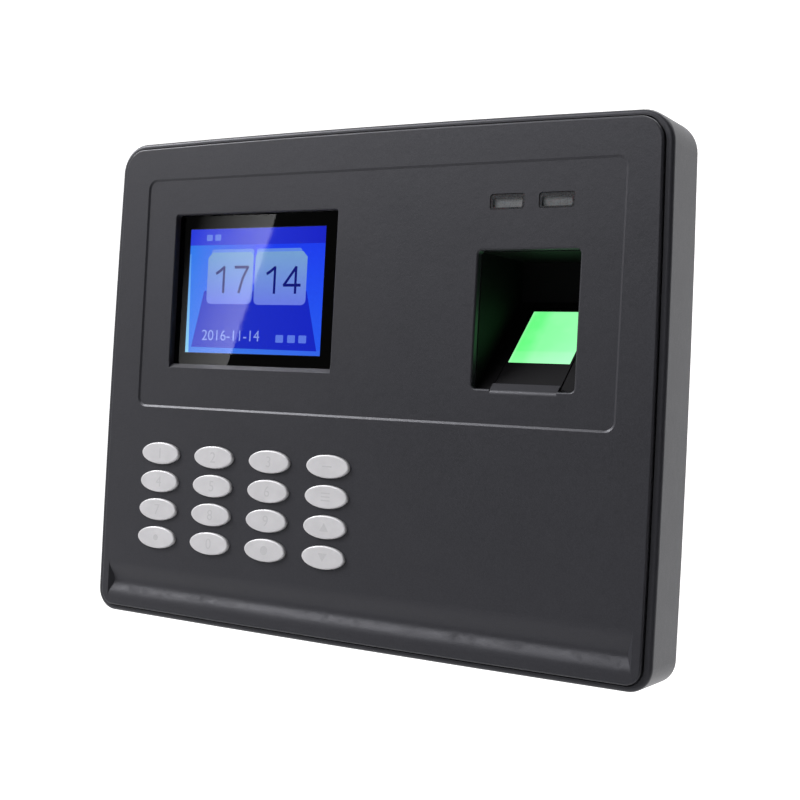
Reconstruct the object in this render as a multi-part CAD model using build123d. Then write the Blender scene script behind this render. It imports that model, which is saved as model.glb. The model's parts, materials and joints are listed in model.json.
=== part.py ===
from build123d import *
from math import atan2, degrees, radians, tan
import os

# A wall-mounted fingerprint scanner terminal.
# X runs to the right of the person who faces it, Y runs from that person to the wall and Z runs
# up. The origin is the middle of the wall plate's back face, where the terminal meets the wall.
# A "depth" is measured along +Y from a datum plane that lies just behind the cover's face.
# All lengths are in millimetres.

# ---- Housing and cover -------------------------------------------------------------------
WIDTH = 180.0
HEIGHT = 143.4
THICKNESS = 32.0
TOP_CORNER_R = 8.7
BOTTOM_CORNER_R = 6.4
WALL = 2.2

# The outline is slightly crowned on all sides and a little narrower at the top
TOP_NARROWING = 1.4
BOTTOM_NARROWING = 0.15
WIDEST_Z = -30.0
TOP_CROWN = 0.8
BOTTOM_CROWN = 0.35

BAND_DEPTH = 18.3
RIM_SETBACK = 0.4
RIM_WIDTH = 2.0
RIM_SLIM = 0.6
RIM_ROUND = 1.0
BAND_BACK_ROUND = 1.4
HUMP_INSET = 10.0
HUMP_DRAFT = 4.0
HUMP_CORNER_R = 8.0
HUMP_ROUND = 2.0
PLATE_THICKNESS = 1.2
HUMP_BACK = THICKNESS - PLATE_THICKNESS
HUMP_FLOOR = HUMP_BACK - WALL
SHELF_INNER = BAND_DEPTH - WALL

COVER_PROUD = 0.8
COVER_WALL = 2.5
COVER_BACK = COVER_WALL - COVER_PROUD
GROOVE_WIDTH = 0.4
GROOVE_DEPTH = 1.2
COVER_EDGE_ROUND = 0.5
COVER_GAP = 0.08
SEAT_DEPTH = 3.2
SEAT_WIDTH = 1.6
SEAT_BACK = SEAT_DEPTH + 2.0
FLANGE_WIDTH = 2.6

# Shallow recess that frames the display and the finger well
STEP_X = (-76.9, 77.8)
STEP_Z = (-8.8, 59.8)
STEP_CORNER_R = 3.0
STEP_DEPTH = 0.35
STEP_WALL_RUN = 0.6
STEP_FLOOR = STEP_DEPTH - COVER_PROUD

# Shallow scoop along the bottom edge, from its top to its deepest line to its lip
SCOOP_HALF_WIDTH = 85.0
SCOOP_Z = (-55.8, -62.1, -67.4)
SCOOP_SINK = 1.4

# ---- Display -----------------------------------------------------------------------------
WINDOW_X = (-65.7, -7.6)
WINDOW_Z = (4.5, 48.9)
WINDOW_CORNER_R = 0.8
WINDOW_ROUND = 0.35
WINDOW_SILL = 1.2
WINDOW_OVERLAP = 2.0
WINDOW_THICKNESS = 1.5
TAPE_THICKNESS = 0.15
TAPE_SETBACK = 0.25
LCD_CENTRE = (-38.0, 26.5)
LCD_WIDTH = 60.3
LCD_HEIGHT = 42.7
LCD_DEPTH = 3.5
LCD_GLASS = 1.4
LCD_LIGHT_GUIDE = 2.3
LCD_FRAME_WALL = 0.4
LCD_FRAME_LIP = 0.3
LCD_FLEX_WIDTH = 24.0
LCD_FLEX = 0.2

# ---- Indicator light pipes ---------------------------------------------------------------
PIPE_CENTRES_X = (44.8, 58.8)
PIPE_Z = 49.35
PIPE_WIDTH = 10.0
PIPE_HEIGHT = 4.1
PIPE_CORNER_R = 0.8
PIPE_SUNK = 0.2
PIPE_POCKET = 0.6
PIPE_FRAME = 0.7
PIPE_POCKET_DROP = 0.25
PIPE_FLANGE = 0.8
PIPE_STEM = (7.0, 3.0)
LED_SIZE = (3.2, 2.8)
LED_HEIGHT = 1.0

# ---- Finger well and optical sensor ------------------------------------------------------
WELL_X = (37.1, 66.1)
WELL_Z = (0.85, 36.8)
WELL_CORNER_R = 1.2
WELL_ROUND = 0.55
WELL_BACK = 26.0
GUIDE_WALL = 1.5
RAMP_X = (42.2, 61.0)
RAMP_ANGLE = 46.0
RAMP_GAP = 0.3
RAMP_FOOT = (COVER_BACK, 0.84)
CHEEK_DROP = 0.25
LIP_X = (42.3, 61.4)
LIP_FRONT_Z = -0.45
LIP_ROUND = 1.6
LIP_BOTTOM_Z = -1.5
GUIDE_EDGE = 0.2
GUIDE_EAR_DEPTH = 5.4
GUIDE_EAR_HEIGHT = 6.0
GUIDE_EAR_ROOT = 1.1
PRISM_WIDTH = 17.7
PRISM_FRONT = 8.9
PRISM_BACK = 23.0
SENSOR_CREST = PRISM_BACK + 0.8
SENSOR_BACK = 25.8
SENSOR_STEP = (6.0, -3.0)
SENSOR_BOTTOM_Z = -16.0
SENSOR_WALL = 1.0
SHAFT_HALF = (7.0, 6.0)
SHAFT_FLOOR_Z = -2.0
LIGHT_BOARD = 1.0
LIGHT_BOARD_Z = (1.2, 12.8)
LAMP_SIZE = (1.6, 0.7, 0.8)
LAMP_X = (-5.0, 5.0)
LAMP_Z = (4.0, 10.0)
LENS_R = 4.0
LENS_DEPTH = 16.0
LENS_Z = (-12.0, -4.0)
LENS_MOUTH_R = 2.6
LENS_PUPIL_R = 1.8
CAMERA_BOARD_DEPTH = 7.3
CAMERA_BOARD_Z = (-13.4, -12.2)
CAMERA_CHIP = (3.8, 3.0, 0.8)

# ---- Keypad ------------------------------------------------------------------------------
KEY_NAMES = (
    ("key_1", "key_2", "key_3", "key_exit"),
    ("key_4", "key_5", "key_6", "key_menu"),
    ("key_7", "key_8", "key_9", "key_up"),
    ("key_power", "key_0", "key_ok", "key_down"),
)
KEY_FIRST = (-66.35, -22.45)
KEY_PITCH = (20.1, 8.38)
KEY_WIDTH = 14.2
KEY_HEIGHT = 6.5
KEY_PROUD = 0.8
KEY_EDGE_ROUND = 0.45
KEY_GAP = 0.15
KEY_FLANGE = 0.65
KEY_FLANGE_THICKNESS = 0.8
KEY_STEM = 0.65
KEY_STEM_R = 2.4
KEY_TRAVEL = 1.0
MAT_SHEET = 0.8
MAT_X = (-75.2, 2.2)
MAT_Z = (-54.0, -16.5)
DOME_HEIGHT = 1.2
DOME_GAP = 0.05
DOME_R = 3.0
DOME_SLOPE = 30
MAT_CORNER_R = 2.0
KEYPAD_BOARD_X = (-80.5, 7.5)
KEYPAD_BOARD_Z = (-55.0, -15.5)

# ---- Circuit boards and fasteners --------------------------------------------------------
BOARD = 1.6
MAIN_BOARD_DEPTH = 7.8
MAIN_BOARD_X = (-78.2, 28.0)
MAIN_BOARD_Z = (-8.0, 62.0)
MAIN_BOARD_ARM_X = (27.0, 69.0)
MAIN_BOARD_ARM_Z = (41.5, 62.0)
PROCESSOR = (-30.0, 30.0)
PROCESSOR_SIZE = (16.0, 16.0, 1.4)
CHIP_CHAMFER = 0.2
MEMORY_X = (-8.0, 8.0)
MEMORY_SIZE = (10.5, 8.0, 1.2)
CAPACITOR_X = (-60.0, -51.0, -42.0)
CAPACITOR_Z = 8.0
CAPACITOR_R = 3.1
CAPACITOR_HEIGHT = 7.5
CELL_CENTRE = (-58.0, 40.0)
CELL_R = 10.0
CELL_THICKNESS = 3.2
CELL_FLOOR = 1.0
CELL_CHAMFER = 0.3
HOLDER_R = 12.0
HOLDER_HEIGHT = 4.8
SOCKET_SIZE = (14.0, 2.4, 5.0)
SOCKET_SLOT = (10.4, 0.7, 3.0)
SOCKET_LEVEL = 1.25
KEYPAD_SOCKETS_Z = (-5.4, -20.5)
IO_SOCKETS_Z = (2.0, -37.0)
FLAT_CABLE = 0.3
KEYPAD_CABLE_X = -30.0
KEYPAD_CABLE_WIDTH = 10.0
IO_CABLE_X = 22.0
IO_CABLE_WIDTH = 6.0
SENSOR_CABLE_R = 1.2
SENSOR_CABLE_BEND = 2.6
SPEAKER_LEAD_R = 0.8
SPEAKER_LEAD_BEND = 2.2
IO_BOARD_DEPTH = 6.0
IO_BOARD_X = (12.0, 74.0)
IO_BOARD_Z = (-66.0, -34.0)
BOSS_R = 2.5
SCREW_R = 1.0
SCREW_HEAD_R = 2.0
SCREW_HEAD = 1.3
SCREW_LENGTH = 5.0
HEAD_DOMING = 0.4
RECESS_LENGTH = 1.1
RECESS_WIDTH = 0.28
RECESS_DEPTH = 0.45
PILOT_DEPTH = 3.6
THREAD_GAP = 0.05
SHANK_GAP = 0.15
PART_GAP = 0.1
HEAD_GAP = 0.35
BOSS_ROOT = 0.4
# Screw places as (x, z) pairs
MAIN_BOARD_SCREWS = ((-75.0, 59.0), (-75.0, -5.0), (8.0, -5.0), (66.0, 59.0), (0.0, 59.0))
IO_BOARD_SCREWS = ((15.5, -50.0), (70.5, -37.0))
GUIDE_SCREWS = ((32.6, 18.0), (70.6, 18.0))
KEYPAD_SCREWS = ((-78.0, -18.0), (-78.0, -52.5), (5.0, -18.0), (5.0, -52.5))
CASE_SCREW_TOP = (80.2, 62.6)
CASE_SCREW_BOTTOM = (82.0, -63.5)
CASE_SCREW_R = 1.5
CASE_SCREW_HEAD_R = 2.75
CASE_SCREW_HEAD = 2.0
CASE_SCREW_LENGTH = 10.0
CASE_BOSS_R = 4.0
CASE_PILLAR_R = 3.2
CASE_BOSS_FRONT = 11.0
CASE_PILOT = 7.5
CASE_JOINT_GAP = 0.1
COUNTERBORE = 2.6

# ---- Sockets in the bottom wall ----------------------------------------------------------
USB_X = 28.0
USB_SIZE = (13.2, 5.8, 14.0)
USB_SHELL = 0.4
USB_BLOCK = 3.5
USB_TONGUE_HALF = 5.6
USB_TONGUE = (3.0, 4.9)
USB_TONGUE_SETBACK = 1.2
JACK_X = 48.0
JACK_SIZE = (9.0, 7.0, 12.0)
JACK_BARREL_R = 3.4
JACK_BORE_R = 3.0
JACK_BORE_LENGTH = 11.0
JACK_PIN_R = 1.0
JACK_PIN_SETBACK = 1.0
RESET_X = 62.0
RESET_TRAVEL = 0.25
RESET_BUTTON_R = 1.0
RESET_SWITCH_SIZE = (6.0, 4.0, 5.0)
RESET_SWITCH_Z = -66.0
RESET_SWITCH_BORE = 1.4
RESET_BUTTON_LENGTH = 2.65
RESET_BUTTON_ROUND = 0.2
RESET_HOLE_R = 0.9
PORT_GAP = 0.3
BOTTOM_Z = -HEIGHT / 2
BOTTOM_WALL_TOP = BOTTOM_Z + WALL + BOTTOM_CROWN
SOCKET_MOUTH_Z = BOTTOM_Z + 0.2

# ---- Loudspeaker and wall plate ----------------------------------------------------------
SPEAKER_CENTRE = (58.0, -40.0)
SPEAKER_R = 14.0
SPEAKER_DEPTH = 6.5
SPEAKER_RIM = 1.2
SPEAKER_CUP_R = 12.0
SPEAKER_MOUTH_R = 11.4
SPEAKER_MAGNET = 2.2
SPEAKER_MAGNET_R = 7.5
SPEAKER_FLOOR = 0.6
CONE_SETBACK = 0.3
CONE_GAP = 0.05
CONE_DOME_R = 5.0
CONE_FILM = 0.25
CONE_DISH = 1.5
CONE_CROWN = 0.5
CONE_SHOULDER = 0.3
CONE_SHOULDER_R = 3.0
COLLAR_HEIGHT = 2.5
COLLAR_GAP = 0.2
COLLAR_WALL = 1.2
GRILLE_SLOTS = (10.0, 17.0, 20.0, 17.0, 10.0)
GRILLE_PITCH = 4.0
GRILLE_SLOT = 1.6
PLATE_WIDTH = 84.0
PLATE_HEIGHT = 100.0
PLATE_CORNER_R = 4.0
WALL_SCREW_SPACING = (60.0, 70.0)
WALL_SCREW_SLOT = (9.0, 4.4)
HOOK_X = 28.0
HOOK_Z = (24.0, -18.0)
HOOK_WIDTH = 8.0
HOOK_REACH = WALL + 0.3
HOOK_LIP = 4.0
HOOK_PLAY = 0.6
HOOK_DROP = 0.2
HOOK_TRAVEL = 1.4
LOCK_TAB_WIDTH = 16.0
LOCK_TAB_DEPTH = 20.0
LOCK_TAB_GAP = 0.1
LOCK_SCREW_DEPTH = 24.0
LOCK_SCREW_LENGTH = 7.0
LOCK_BOSS_R = 3.6
LOCK_BOSS = (1.6, 7.5)

FRONT_Y = -THICKNESS


# ---- Helpers -----------------------------------------------------------------------------
def slab(profile, depth_from, depth_to, taper=0.0):
    """Solid of a front-view profile, drawn in X and Z, between two depths."""
    plane = Plane(origin=(0, FRONT_Y + depth_to, 0), x_dir=(1, 0, 0), z_dir=(0, -1, 0))
    return extrude(plane * profile, amount=depth_to - depth_from, taper=taper)


def block(x_range, depth_range, z_range):
    """Plain box between pairs of X, depth and Z values."""
    ranges = (x_range, depth_range, z_range)
    size = [high - low for low, high in ranges]
    middle = [(high + low) / 2 for low, high in ranges]
    return Pos(middle[0], FRONT_Y + middle[1], middle[2]) * Box(*size)


def side_section(outline, x_low, x_high):
    """Solid of a side-view profile, drawn in depth and Z, between two X values."""
    plane = Plane(origin=(x_low, FRONT_Y, 0), x_dir=(0, 1, 0), z_dir=(1, 0, 0))
    return extrude(plane * outline, amount=x_high - x_low, dir=(1, 0, 0))


def polygon(*points):
    """Closed profile through points that keep their own coordinates."""
    return Polygon(*points, align=None)


def rod(x, z, radius, depth_from, depth_to):
    """Round bar along Y."""
    return slab(Pos(x, z) * Circle(radius), depth_from, depth_to)


def post(x, depth, radius, z_low, z_high):
    """Round bar along Z."""
    plane = Plane(origin=(x, FRONT_Y + depth, z_low), x_dir=(1, 0, 0), z_dir=(0, 0, 1))
    return extrude(plane * Circle(radius), amount=z_high - z_low)


def spanned(x_range, z_range, radius=0.0):
    """Rectangle between pairs of X and Z values, with rounded corners if asked."""
    width = x_range[1] - x_range[0]
    height = z_range[1] - z_range[0]
    shape = RectangleRounded(width, height, radius) if radius else Rectangle(width, height)
    return Pos(sum(x_range) / 2, sum(z_range) / 2) * shape


def case_outline(inset, slim=0.0):
    """Crowned outline of the terminal's front, moved inwards; slim takes back some at top and bottom."""
    half = WIDTH / 2 - inset
    end = HEIGHT / 2 - inset + slim
    top_right = (half - TOP_NARROWING, end - TOP_CROWN)
    low_right = (half - BOTTOM_NARROWING, BOTTOM_CROWN - end)
    top_left = (-top_right[0], top_right[1])
    low_left = (-low_right[0], low_right[1])
    edges = Curve() + [
        ThreePointArc(top_left, (0, end), top_right),
        ThreePointArc(top_right, (half, WIDEST_Z), low_right),
        ThreePointArc(low_right, (0, -end), low_left),
        ThreePointArc(low_left, (-half, WIDEST_Z), top_left),
    ]
    shape = make_face(edges)
    tightened = inset - slim / 2
    shape = fillet(shape.vertices().group_by(Axis.Y)[-1], TOP_CORNER_R - tightened)
    return fillet(shape.vertices().group_by(Axis.Y)[0], BOTTOM_CORNER_R - tightened)


def cover_outline(inset):
    """Outline that belongs to the cover: the rim round it is slimmer at top and bottom."""
    return case_outline(inset, RIM_SLIM)


def grown(pair, amount):
    """A pair of limits moved apart by an amount at each end."""
    return (pair[0] - amount, pair[1] + amount)


def corners(x_half, z_half):
    """The four points at plus and minus two half spacings."""
    return [(x_half * i, z_half * j) for i in (-1, 1) for j in (-1, 1)]


def ramp_z(depth):
    """Height of the finger ramp's surface at a depth."""
    return RAMP_FOOT[1] + (depth - RAMP_FOOT[0]) * tan(radians(RAMP_ANGLE))


def wire_run(points, bend, radius):
    """Round cable along straight runs joined by arcs; points are (x, depth, z)."""
    route = FilletPolyline(*[(x, FRONT_Y + depth, z) for x, depth, z in points], radius=bend)
    start = Plane(origin=route @ 0, z_dir=route % 0)
    return sweep(start * Circle(radius), path=route)


def ribbon(points, thickness, x_middle, width):
    """Flat cable whose side view follows (depth, z) points."""
    route = Polyline(*points)
    band = offset(route, amount=thickness / 2, side=Side.BOTH, kind=Kind.INTERSECTION)
    return side_section(make_face(band), x_middle - width / 2, x_middle + width / 2)


# ---- Places worked out from the sizes above ----------------------------------------------
key_centres = {
    name: (KEY_FIRST[0] + column * KEY_PITCH[0], KEY_FIRST[1] - row * KEY_PITCH[1])
    for row, names in enumerate(KEY_NAMES)
    for column, name in enumerate(names)
}
key_cap_back = COVER_BACK + THREAD_GAP
key_stem_back = key_cap_back + KEY_FLANGE_THICKNESS + KEY_STEM
mat_top = key_stem_back + KEY_TRAVEL + DOME_GAP + DOME_HEIGHT
keypad_board_top = mat_top + MAT_SHEET

case_screws = [(side * x, z) for side in (-1, 1) for x, z in (CASE_SCREW_TOP, CASE_SCREW_BOTTOM)]


def reset_depth():
    """Depth of the reset button's axis."""
    return IO_BOARD_DEPTH + BOARD + RESET_SWITCH_SIZE[1] / 2


# ---- Rear housing ------------------------------------------------------------------------
def make_rear_housing():
    band = slab(case_outline(0), RIM_SETBACK, BAND_DEPTH)
    band = fillet(band.edges().group_by(Axis.Y)[0], RIM_ROUND)
    band = fillet(band.edges().group_by(Axis.Y)[-1], BAND_BACK_ROUND)
    draft_run = (HUMP_BACK - BAND_DEPTH) * tan(radians(HUMP_DRAFT))
    hump_size = [size - 2 * HUMP_INSET - 2 * draft_run for size in (WIDTH, HEIGHT)]
    hump = slab(RectangleRounded(*hump_size, HUMP_CORNER_R), BAND_DEPTH - 1, HUMP_BACK, -HUMP_DRAFT)
    hump = fillet(hump.edges().group_by(Axis.Y)[-1], HUMP_ROUND)
    shell = band + hump
    hollow_size = [size - 2 * WALL for size in hump_size]
    hollow = RectangleRounded(*hollow_size, HUMP_CORNER_R - WALL)
    shell -= slab(hollow, SEAT_DEPTH, HUMP_FLOOR, -HUMP_DRAFT)
    shell -= slab(cover_outline(RIM_WIDTH), 0, SEAT_DEPTH)
    shell -= slab(cover_outline(RIM_WIDTH + SEAT_WIDTH), SEAT_DEPTH, SEAT_BACK)
    shell -= slab(case_outline(WALL), SEAT_BACK, SHELF_INNER)
    for x, z in case_screws:
        shell += rod(x, z, CASE_BOSS_R, CASE_BOSS_FRONT, SHELF_INNER + BOSS_ROOT)
        shell -= rod(x, z, CASE_SCREW_HEAD_R + HEAD_GAP, BAND_DEPTH - COUNTERBORE, BAND_DEPTH)
        shell -= rod(x, z, CASE_SCREW_R + SHANK_GAP, CASE_BOSS_FRONT, BAND_DEPTH)
    shell += speaker_collar()
    shell -= speaker_grille()
    shell -= bottom_openings()
    for x in (-HOOK_X, HOOK_X):
        for z in HOOK_Z:
            slot_x = grown((x - HOOK_WIDTH / 2, x + HOOK_WIDTH / 2), HOOK_PLAY)
            slot_z = (z - HOOK_LIP - HOOK_TRAVEL, z + PLATE_THICKNESS)
            shell -= block(slot_x, (HUMP_FLOOR, HUMP_BACK), slot_z)
    lock_z = -HEIGHT / 2 + HUMP_INSET
    shell += post(0, LOCK_SCREW_DEPTH, LOCK_BOSS_R, lock_z + LOCK_BOSS[0], lock_z + LOCK_BOSS[1])
    shell -= post(0, LOCK_SCREW_DEPTH, CASE_SCREW_R + THREAD_GAP, lock_z - 1, lock_z + LOCK_BOSS[1])
    return shell


def speaker_collar():
    x, z = SPEAKER_CENTRE
    inner_r = SPEAKER_R + COLLAR_GAP
    ring = Circle(inner_r + COLLAR_WALL) - Circle(inner_r)
    return slab(Pos(x, z) * ring, HUMP_FLOOR - COLLAR_HEIGHT, HUMP_FLOOR)


def speaker_grille():
    x, z = SPEAKER_CENTRE
    middle = (len(GRILLE_SLOTS) - 1) / 2
    slots = [
        Pos(x, z + (index - middle) * GRILLE_PITCH) * SlotOverall(length, GRILLE_SLOT)
        for index, length in enumerate(GRILLE_SLOTS)
    ]
    return [slab(slot, HUMP_FLOOR, HUMP_BACK) for slot in slots]


def bottom_openings():
    usb_depth = IO_BOARD_DEPTH + BOARD + USB_SIZE[1] / 2
    jack_depth = IO_BOARD_DEPTH + BOARD + JACK_SIZE[1] / 2
    wall_z = (BOTTOM_Z, BOTTOM_WALL_TOP)
    usb_x = grown((USB_X - USB_SIZE[0] / 2, USB_X + USB_SIZE[0] / 2), PORT_GAP)
    usb_mouth = grown((usb_depth - USB_SIZE[1] / 2, usb_depth + USB_SIZE[1] / 2), PORT_GAP)
    return [
        block(usb_x, usb_mouth, wall_z),
        post(JACK_X, jack_depth, JACK_BARREL_R + PORT_GAP, *wall_z),
        post(RESET_X, reset_depth(), RESET_HOLE_R, *wall_z),
    ]


# ---- Front cover -------------------------------------------------------------------------
def make_front_cover():
    cover = slab(cover_outline(RIM_WIDTH + GROOVE_WIDTH), -COVER_PROUD, COVER_BACK)
    cover = fillet(cover.edges().group_by(Axis.Y)[0], COVER_EDGE_ROUND)
    flange = cover_outline(RIM_WIDTH + COVER_GAP) - cover_outline(RIM_WIDTH + GROOVE_WIDTH + FLANGE_WIDTH)
    cover += slab(flange, GROOVE_DEPTH, SEAT_DEPTH)
    deep_x = (SCOOP_SINK - SCOOP_HALF_WIDTH, SCOOP_HALF_WIDTH - SCOOP_SINK)
    cover += block(deep_x, (STEP_FLOOR, COVER_BACK + SCOOP_SINK), (SCOOP_Z[2] + BOSS_ROOT, SCOOP_Z[0]))
    cover -= step_recess()
    cover -= scoop()
    cover -= slab(spanned(WINDOW_X, WINDOW_Z, WINDOW_CORNER_R), -COVER_PROUD, COVER_BACK)
    cover -= slab(spanned(WELL_X, WELL_Z, WELL_CORNER_R), -COVER_PROUD, COVER_BACK)
    cover = fillet(face_edges(cover, WINDOW_X, WINDOW_Z), WINDOW_ROUND)
    cover = fillet(face_edges(cover, WELL_X, WELL_Z), WELL_ROUND)
    cover -= window_sill()
    cover -= block(LIP_X, (STEP_FLOOR, COVER_BACK), (LIP_BOTTOM_Z, WELL_Z[0] + 1))
    cover += finger_lip()
    for x in PIPE_CENTRES_X:
        hole = RectangleRounded(PIPE_WIDTH, PIPE_HEIGHT, PIPE_CORNER_R)
        cover -= slab(Pos(x, PIPE_Z) * hole, -COVER_PROUD, COVER_BACK)
    for centre in key_centres.values():
        hole = Ellipse(KEY_WIDTH / 2 + KEY_GAP, KEY_HEIGHT / 2 + KEY_GAP)
        cover -= slab(Pos(*centre) * hole, -COVER_PROUD, COVER_BACK)
    for x, z in MAIN_BOARD_SCREWS:
        cover = add_boss(cover, x, z, MAIN_BOARD_DEPTH)
    for x, z in IO_BOARD_SCREWS:
        cover = add_boss(cover, x, z, IO_BOARD_DEPTH)
    for x, z in GUIDE_SCREWS:
        cover = add_boss(cover, x, z, GUIDE_EAR_DEPTH)
    for x, z in KEYPAD_SCREWS:
        cover = add_boss(cover, x, z, keypad_board_top)
    for x, z in case_screws:
        cover += rod(x, z, CASE_PILLAR_R, COVER_BACK - BOSS_ROOT, CASE_BOSS_FRONT - CASE_JOINT_GAP)
        cover -= rod(x, z, CASE_SCREW_R + THREAD_GAP, CASE_BOSS_FRONT - CASE_PILOT, CASE_BOSS_FRONT)
    return cover


def face_edges(cover, x_range, z_range):
    """Edges round an opening in the floor of the shallow recess."""
    floor_y = FRONT_Y + STEP_FLOOR
    front = cover.edges().filter_by_position(Axis.Y, *grown((floor_y, floor_y), THREAD_GAP))
    beside = front.filter_by_position(Axis.X, *grown(x_range, THREAD_GAP))
    return beside.filter_by_position(Axis.Z, *grown(z_range, THREAD_GAP))


def add_boss(cover, x, z, top):
    """Screw boss on the cover's back, with its pilot hole."""
    cover += rod(x, z, BOSS_R, COVER_BACK - BOSS_ROOT, top)
    return cover - rod(x, z, SCREW_R + THREAD_GAP, top - PILOT_DEPTH, top)


def step_recess():
    inner_x = grown(STEP_X, -STEP_WALL_RUN)
    inner_z = grown(STEP_Z, -STEP_WALL_RUN)
    floor = spanned(inner_x, inner_z, STEP_CORNER_R - STEP_WALL_RUN)
    slope = degrees(atan2(STEP_WALL_RUN, STEP_DEPTH))
    return slab(floor, -COVER_PROUD, STEP_FLOOR, -slope)


def scoop():
    """The cut along the bottom edge, which leaves the face smoothly and has sloping ends."""
    face = -COVER_PROUD
    clear = face - 1
    bottom = face + SCOOP_SINK
    top, middle, lip = SCOOP_Z
    points = ((face, top), (bottom, middle), (face, lip))
    curve = Spline(*points, tangents=[(0, -1)] * len(points))
    rest = Polyline((face, lip), (clear, lip), (clear, top), (face, top))
    cut = side_section(make_face(curve + rest), -SCOOP_HALF_WIDTH, SCOOP_HALF_WIDTH)
    deep = SCOOP_HALF_WIDTH - SCOOP_SINK
    plan = polygon((-SCOOP_HALF_WIDTH, clear), (-SCOOP_HALF_WIDTH, face), (-deep, bottom),
                   (deep, bottom), (SCOOP_HALF_WIDTH, face), (SCOOP_HALF_WIDTH, clear))
    return cut & Pos(0, FRONT_Y, lip) * extrude(plan, top - lip, dir=(0, 0, 1))


def window_sill():
    """Slope cut along the display opening's bottom edge."""
    low = WINDOW_Z[0] - WINDOW_SILL
    outline = polygon((STEP_FLOOR, low), (STEP_FLOOR + WINDOW_SILL, WINDOW_Z[0]),
                      (STEP_FLOOR + WINDOW_SILL, WINDOW_Z[0] + 1), (STEP_FLOOR, WINDOW_Z[0] + 1))
    return side_section(outline, *WINDOW_X)


def finger_lip():
    """Rounded lip in the middle of the well's bottom edge, which leads a finger onto the ramp."""
    turn = 90 - RAMP_ANGLE
    rounding = CenterArc((STEP_FLOOR + LIP_ROUND, LIP_FRONT_Z), LIP_ROUND, 180, -turn)
    top = rounding @ 1
    crest = (COVER_BACK, top.Y + (COVER_BACK - top.X) * tan(radians(RAMP_ANGLE)))
    rest = Polyline(tuple(top)[:2], crest, (COVER_BACK, LIP_BOTTOM_Z), (STEP_FLOOR, LIP_BOTTOM_Z),
                    (STEP_FLOOR, LIP_FRONT_Z))
    return side_section(make_face(rounding + rest), *LIP_X)


# ---- Display stack -----------------------------------------------------------------------
def make_window_tape():
    outer = spanned(grown(WINDOW_X, WINDOW_OVERLAP), grown(WINDOW_Z, WINDOW_OVERLAP))
    inner = spanned(grown(WINDOW_X, TAPE_SETBACK), grown(WINDOW_Z, TAPE_SETBACK))
    return slab(outer - inner, COVER_BACK, COVER_BACK + TAPE_THICKNESS)


def make_display_window():
    pane = spanned(grown(WINDOW_X, WINDOW_OVERLAP), grown(WINDOW_Z, WINDOW_OVERLAP), 1.0)
    front = COVER_BACK + TAPE_THICKNESS
    return slab(pane, front, front + WINDOW_THICKNESS)


def lcd_slab(width, height, front, thickness):
    return slab(Pos(*LCD_CENTRE) * Rectangle(width, height), front, front + thickness)


def make_lcd_panel():
    return lcd_slab(LCD_WIDTH, LCD_HEIGHT, LCD_DEPTH, LCD_GLASS)


def make_lcd_backlight():
    return lcd_slab(LCD_WIDTH, LCD_HEIGHT, LCD_DEPTH + LCD_GLASS, LCD_LIGHT_GUIDE)


def make_lcd_frame():
    """Pressed metal tray that holds the glass and its light guide."""
    inner_width = LCD_WIDTH + 2 * THREAD_GAP
    inner_height = LCD_HEIGHT + 2 * THREAD_GAP
    front = LCD_DEPTH + LCD_FRAME_LIP
    light_back = LCD_DEPTH + LCD_GLASS + LCD_LIGHT_GUIDE
    height = inner_height + 2 * LCD_FRAME_WALL
    tray = lcd_slab(inner_width + 2 * LCD_FRAME_WALL, height, front, MAIN_BOARD_DEPTH - front)
    tray -= lcd_slab(inner_width, inner_height, LCD_DEPTH, light_back - LCD_DEPTH)
    half_flex = LCD_FLEX_WIDTH / 2 + 0.5
    flex_x = (LCD_CENTRE[0] - half_flex, LCD_CENTRE[0] + half_flex)
    bottom = LCD_CENTRE[1] - height / 2
    return tray - block(flex_x, (LCD_DEPTH, light_back), (bottom, bottom + 1))


def make_lcd_flex():
    """Flat film that leaves the glass's bottom edge and folds back onto the main board."""
    bottom = LCD_CENTRE[1] - LCD_HEIGHT / 2
    glass_middle = LCD_DEPTH + LCD_GLASS / 2
    board_face = MAIN_BOARD_DEPTH - LCD_FLEX / 2
    points = ((glass_middle, bottom - 0.12), (glass_middle, bottom - 2), (board_face, bottom - 5),
              (board_face, bottom - 9))
    return ribbon(points, LCD_FLEX, LCD_CENTRE[0], LCD_FLEX_WIDTH)


def make_light_pipe(x):
    """Lens with a sunk face, which carries the light forward from the main board."""
    place = Pos(x, PIPE_Z)
    width = PIPE_WIDTH - 2 * COVER_GAP
    height = PIPE_HEIGHT - 2 * COVER_GAP
    lens = RectangleRounded(width, height, PIPE_CORNER_R - COVER_GAP)
    pocket = RectangleRounded(width - 2 * PIPE_FRAME, height - 2 * PIPE_FRAME, PIPE_CORNER_R / 2)
    flange = Rectangle(width + 2 * PIPE_FLANGE, height + 2 * PIPE_FLANGE)
    front = STEP_FLOOR + PIPE_SUNK
    stem_start = COVER_BACK + PIPE_FLANGE
    pipe = slab(place * lens, front, COVER_BACK)
    pipe -= slab(place * Pos(0, -PIPE_POCKET_DROP) * pocket, front, front + PIPE_POCKET)
    pipe += slab(place * flange, COVER_BACK, stem_start)
    stem_end = MAIN_BOARD_DEPTH - LED_HEIGHT - PART_GAP
    return pipe + slab(place * Rectangle(*PIPE_STEM), stem_start, stem_end)


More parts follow.
